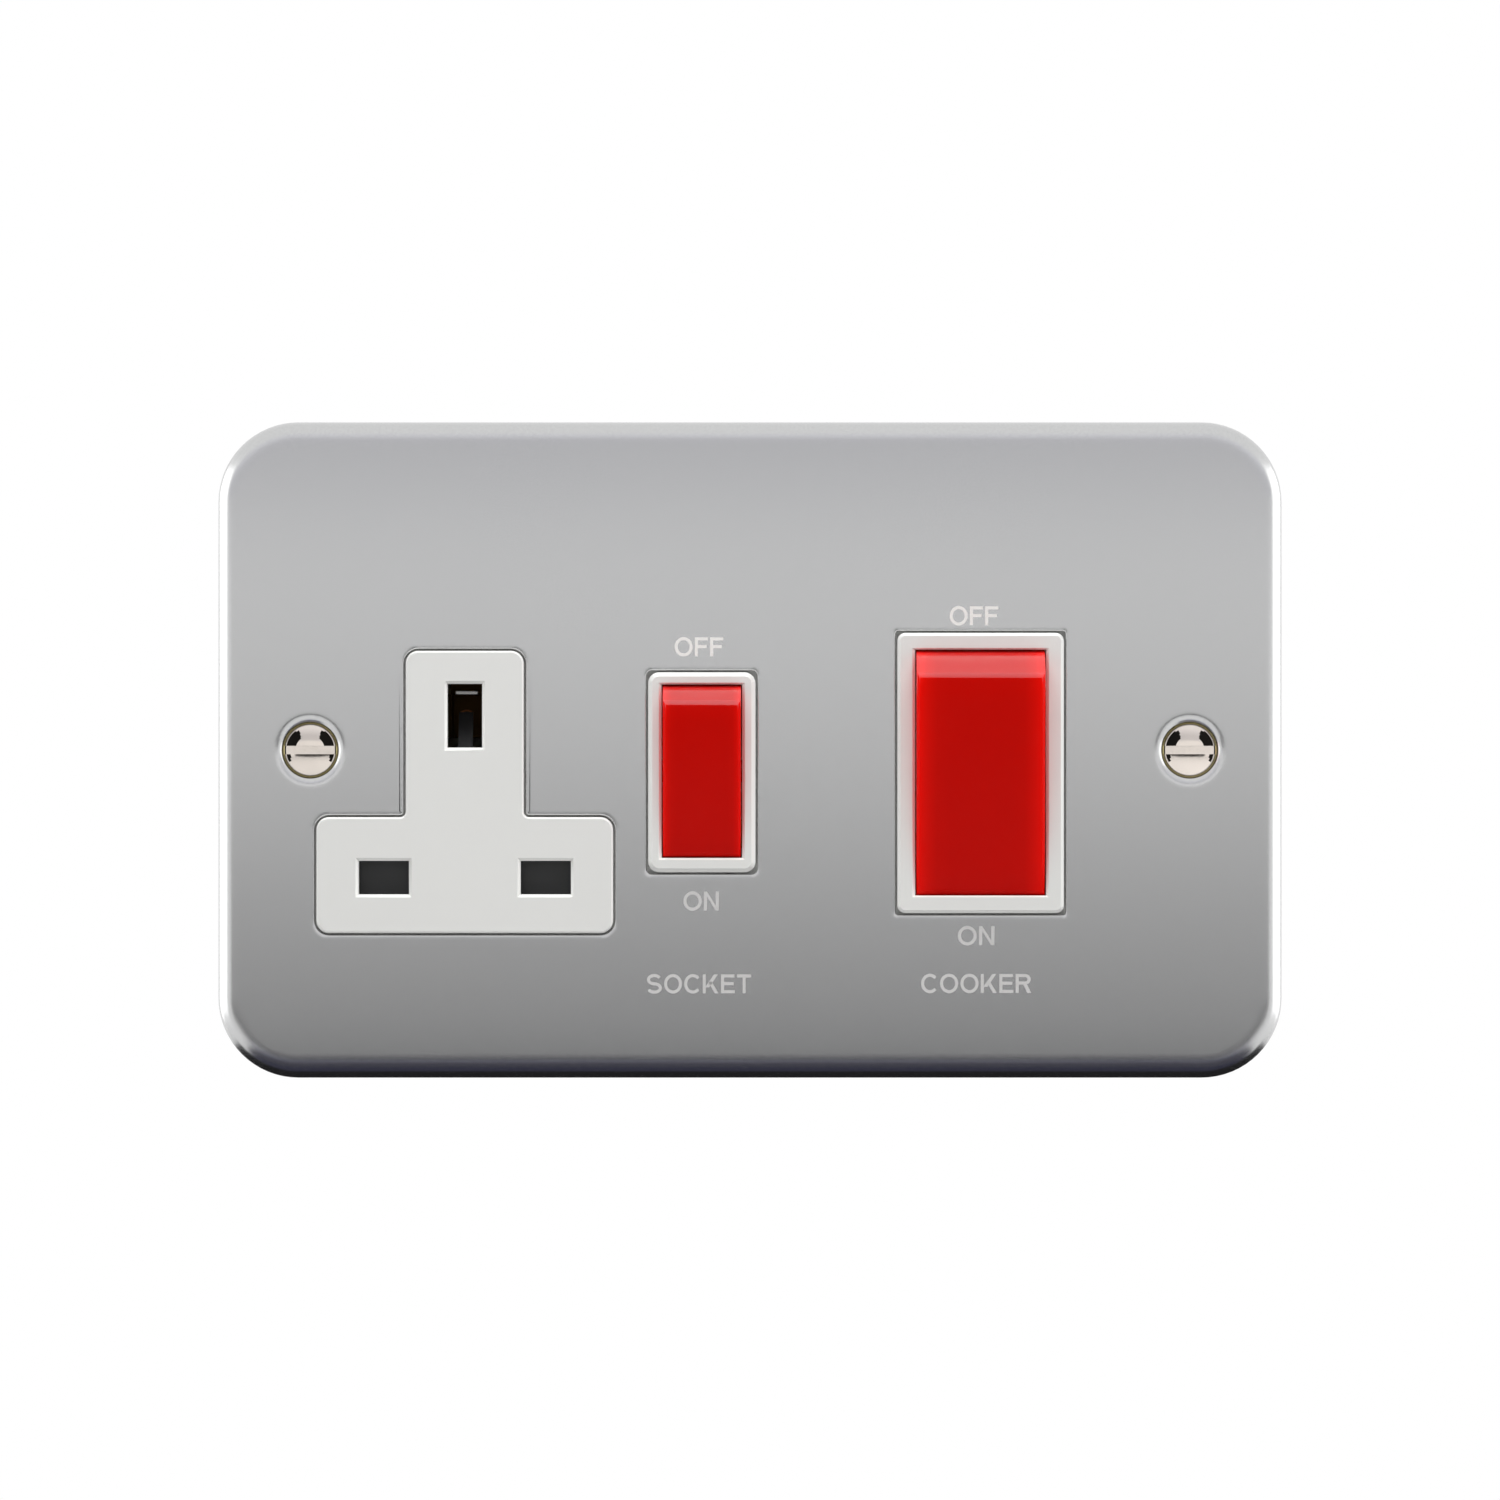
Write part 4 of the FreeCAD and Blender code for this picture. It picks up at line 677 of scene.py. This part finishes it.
def make_threads():
    bm = bmesh.new()
    for x in (-FIXING_X, FIXING_X):
        add_thread(bm, x, THREAD_START_Y, SHANK_END_Y - TIP_LENGTH - 0.3)
    threads = finished(bm, "fixing_screw_threads", plated_steel, 50)
    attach(threads, "housing")


# Plain printed lettering: each letter is made of bars and bent strokes, in units of its height
STROKE = 0.165
HALF = STROKE / 2
LETTER_GAP = 0.12
LETTER_HEIGHT = 2.6
PRINT_PROUD = 0.01
STROKE_STEP = 0.0002


def bar(x0, z0, x1, z1):
    return [(x0, z0), (x1, z0), (x1, z1), (x0, z1)]


def slant(x0, z0, x1, z1, across):
    return [(x0, z0), (x0 + across, z0), (x1 + across, z1), (x1, z1)]


def arc(x, z, wide, tall, start, end, steps=20):
    angles = [math.radians(start + (end - start) * k / steps) for k in range(steps + 1)]
    return [(x + wide * math.cos(a), z + tall * math.sin(a)) for a in angles]


def thick(path):
    left = []
    right = []
    for i, point in enumerate(path):
        here = Vector(point)
        ahead = Vector(path[min(i + 1, len(path) - 1)])
        behind = Vector(path[max(i - 1, 0)])
        across = (ahead - behind).normalized().orthogonal() * HALF
        left.append(tuple(here + across))
        right.append(tuple(here - across))
    return [[left[i], right[i], right[i + 1], left[i + 1]] for i in range(len(path) - 1)]


# Each letter's width and strokes
STEM = bar(0, 0, STROKE, 1)
S_CURVE = arc(0.42, 0.72, 0.40 - HALF, 0.22, 25, 270) + arc(0.42, 0.28, 0.42 - HALF, 0.22, 90, -155)[1:]
R_BEND = arc(0.5, 0.72, 0.28 - HALF + 0.03, 0.28 - HALF, 80, -80, 14)
R_BOWL = [(STROKE, 1 - HALF), (0.5, 1 - HALF)] + R_BEND + [(0.5, 0.44 + HALF), (STROKE, 0.44 + HALF)]
LETTERS = {
    "C": (0.90, thick(arc(0.48, 0.5, 0.48 - HALF, 0.515 - HALF, 42, 318, 32))),
    "E": (0.76, [STEM, bar(STROKE, 1 - STROKE, 0.74, 1), bar(STROKE, 0.43, 0.70, 0.43 + STROKE),
                 bar(STROKE, 0, 0.76, STROKE)]),
    "F": (0.71, [STEM, bar(STROKE, 1 - STROKE, 0.71, 1), bar(STROKE, 0.43, 0.64, 0.43 + STROKE)]),
    "K": (0.88, [STEM, slant(STROKE - 0.03, 0.32, 0.62, 1, 0.22), slant(0.66, 0, 0.30, 0.60, 0.20)]),
    "N": (0.80, [STEM, bar(0.80 - STROKE, 0, 0.80, 1), slant(0.80 - STROKE, 0, 0, 1, STROKE)]),
    "O": (0.98, thick(arc(0.49, 0.5, 0.49 - HALF, 0.515 - HALF, 0, 360, 40))),
    "R": (0.84, [STEM] + thick(R_BOWL) + [slant(0.63, 0, 0.40, 0.46, 0.21)]),
    "S": (0.84, thick(S_CURVE)),
    "T": (0.78, [bar(0, 1 - STROKE, 0.78, 1), bar(0.39 - HALF, 0, 0.39 + HALF, 1 - STROKE)]),
}


# A printed word: its middle in x and z, and its width
def legend(name, text, paint, x, z, width):
    bm = bmesh.new()
    total = sum(LETTERS[c][0] for c in text) + LETTER_GAP * (len(text) - 1)
    wide = width / total
    start = x - width / 2
    for c in text:
        across, shapes = LETTERS[c]
        for i, shape in enumerate(shapes):
            points = [(start + px * wide, z + (pz - 0.5) * LETTER_HEIGHT) for px, pz in shape]
            bm.faces.new(ring(bm, points, FACE_Y - PRINT_PROUD - STROKE_STEP * i))
        start += (across + LETTER_GAP) * wide
    for face in bm.faces:
        face.normal_update()
        if face.normal.y > 0:
            face.normal_flip()
    mesh = bpy.data.meshes.new(name)
    bm.to_mesh(mesh)
    bm.free()
    piece = dressed(mesh, name, paint)
    mesh.shade_flat()
    layer = piece.modifiers.new("layer", "SOLIDIFY")
    layer.thickness = 2 * PRINT_PROUD * MM
    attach(piece, "housing")


# Inside the earth slot: the contact's plated lip and a copper bow behind the shutter's tongue, the bow
# darkened as painted shade
def make_earth_lip():
    bm = bmesh.new()
    add_block(bm, (T_CENTRE - 1.6, T_CENTRE + 1.6), (5.6, 6.4), (7.6, 8.2))
    lip = finished(bm, "earth_contact_lip", spring_steel)
    soften(lip, 0.12, 2, 50)
    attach(lip, "housing")


def make_earth_bow(bend=1.15, wire=0.13, steps=24, sides=10):
    centre = Vector((T_CENTRE, 6.2, 4.3))
    bm = bmesh.new()
    rows = []
    for k in range(steps + 1):
        angle = math.radians(40 + 100 * k / steps)
        row = []
        for j in range(sides):
            turn = 2 * math.pi * j / sides
            reach = bend + wire * math.cos(turn)
            place = (reach * math.cos(angle), wire * math.sin(turn), reach * math.sin(angle))
            row.append(bm.verts.new((centre + Vector(place)) * MM))
        rows.append(row)
    bridge_all(bm, rows)
    bm.faces.new(rows[0])
    bm.faces.new(rows[-1])
    # Painted shade: the bow is copper darkened to the tone of the deep slot
    bow = finished(bm, "earth_bow", painted_shade_copper)
    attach(bow, "housing")


# Each spring: a copy of its coils in spring steel takes the place of its CAD node; the ends of its length
# along the axis are found but not used
def make_spring(node, axis):
    coils = dressed(nodes[node].data.copy(), node + "_coils", spring_steel, 60)
    low, high = (Vector(corner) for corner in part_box(node))
    start = (low + high) / 2
    end = start.copy()
    start[axis] = low[axis]
    end[axis] = high[axis]
    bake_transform(coils)
    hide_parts(node)


make_earth_lip()
make_earth_bow()
make_spring("shutter_spring", 2)
for pole, rocker in (("socket", "socket_rocker"), ("live", "cooker_rocker"), ("neutral", "cooker_rocker")):
    make_spring(pole + "_plunger_spring", 1)
make_plate()
make_heads()
make_rims()
make_threads()
fine_copy("socket_front", "socket_moulding", "housing", white_front, 0.34, 4, rims_the_rest, outlines_the_t)
fine_copy("switch_front", "switch_moulding", "housing", white_front, 0.32, 4, rims_a_face)
fine_copy("socket_rocker", "small_red_rocker", "socket_rocker", small_red, 0.3, wanted=runs_down)
fine_copy("cooker_rocker", "large_red_rocker", "cooker_rocker", large_red, 0.3, wanted=runs_down)
fine_copy("socket_base", "socket_rear_housing", "housing", white_rear, 0.25)
fine_copy("switch_base", "switch_rear_housing", "housing", white_rear, 0.25)
for node, slot in slot_of.items():
    if slot in ("brass", "plated_steel", "copper", "grey_moulding"):
        soften(nodes[node], 0.1, 2, 50)

legend("legend_off_small", "OFF", print_bright, -7.0, 14.15, 6.66)
legend("legend_on_small", "ON", print_soft, -6.7, -20.7, 4.85)
legend("legend_socket", "SOCKET", print_soft, -7.0, -32.05, 14.35)
legend("legend_off_large", "OFF", print_bright, 30.7, 18.4, 6.65)
legend("legend_on_large", "ON", print_soft, 31.0, -25.45, 5.0)
legend("legend_cooker", "COOKER", print_soft, 31.0, -32.0, 15.1)

# Camera: straight in front of the plate and far away, as in the photograph
VIEW_WIDTH = 206.0
VIEW_DISTANCE = 1600.0
OUTLINE_Y = -2.0
SENSOR_WIDTH = 36


def make_camera():
    data = bpy.data.cameras.new("camera")
    data.sensor_width = SENSOR_WIDTH
    data.lens = SENSOR_WIDTH * VIEW_DISTANCE / VIEW_WIDTH
    camera = bpy.data.objects.new("camera", data)
    camera.location = (0, (OUTLINE_Y - VIEW_DISTANCE) * MM, 0)
    camera.rotation_euler = (math.radians(90), 0, 0)
    bpy.context.scene.collection.objects.link(camera)
    bpy.context.scene.camera = camera


# Pale floor below the view, white surroundings and soft lamps
def make_floor():
    bm = bmesh.new()
    add_block(bm, (-600, 600), (-500, 140), (-151, -150))
    material, tree, shader = new_material("pale_floor")
    shader.inputs["Base Color"].default_value = (0.8, 0.8, 0.8, 1)
    shader.inputs["Roughness"].default_value = 0.9
    finished(bm, "floor", material)


# A card is black to lamps and seen only by reflections, with a level of its own
def make_card(name, x, y, z, level, blue=1.04):
    bm = bmesh.new()
    add_block(bm, x, y, z)
    material, tree, shader = new_material(name)
    shader.inputs["Base Color"].default_value = (0, 0, 0, 1)
    shader.inputs["Specular IOR Level"].default_value = 0
    shader.inputs["Emission Color"].default_value = (level, level, level * blue, 1)
    shader.inputs["Emission Strength"].default_value = 1.0
    card = finished(bm, name, material)
    card.visible_camera = False
    card.visible_diffuse = False
    card.visible_shadow = False


def make_world():
    world = bpy.data.worlds.new("studio")
    world.use_nodes = True
    tree = world.node_tree
    background = tree.nodes["Background"]
    path = tree.nodes.new("ShaderNodeLightPath")
    either = calculation(tree, "MAXIMUM", path, "Is Camera Ray")
    link(tree, path, "Is Glossy Ray", either, 1)
    seen = calculation(tree, "MAXIMUM", either, "Value")
    link(tree, path, "Is Transmission Ray", seen, 1)
    level = spread(tree, seen, "Value", 0.09, 1.0)
    link(tree, level, "Result", background, "Strength")
    background.inputs["Color"].default_value = (1, 1, 1, 1)
    bpy.context.scene.world = world


def lamp(name, place, target, size, power, seen_in_metal=True):
    data = bpy.data.lights.new(name, "AREA")
    data.shape = "RECTANGLE"
    data.size = size[0]
    data.size_y = size[1]
    data.energy = power
    light = bpy.data.objects.new(name, data)
    light.location = place
    light.rotation_euler = (Vector(target) - Vector(place)).to_track_quat("-Z", "Y").to_euler()
    bpy.context.scene.collection.objects.link(light)
    light.visible_camera = False
    light.visible_glossy = seen_in_metal


make_camera()
make_floor()

# The cards give the plate its fall in tone from the top to the bottom
make_card("front_card", (-400, 400), (-501, -500), (-130, -24.5), 0.0)
for near, far, level in ((-10, -17, 0.07), (-17, -26, 0.13), (-26, -36, 0.22)):
    make_card("low_card", (-76, 76), (far, near), (-49, -48), level, 1.3)
make_card("under_card", (-96, 96), (-48, -10), (-71, -70), 0.05, 1.6)
make_card("rear_card", (-110, 110), (-10, 120), (-71, -70), 0.02)
for low, high, level in ((38, 66, 0.71), (66, 76, 0.77), (76, 88, 0.83), (88, 104, 0.90), (104, 130, 0.95)):
    make_card("upper_card", (-200, 200), (-106, -105), (low, high), level)

make_world()
lamp("left_lamp", (-0.6, 0.08, 0.05), (0, 0.08, 0), (0.8, 0.5), 1.5)
lamp("right_lamp", (0.6, 0.08, 0.05), (0, 0.08, 0), (0.8, 0.5), 1.5)
lamp("rear_lamp", (0.15, 0.7, 0.45), (0, 0, 0), (0.8, 0.6), 3.0, seen_in_metal=False)
lamp("top_lamp", (0.02, -0.30, 0.66), (0, 0, 0), (0.9, 0.6), 8.4, seen_in_metal=False)
bpy.context.scene.view_settings.view_transform = "Standard"
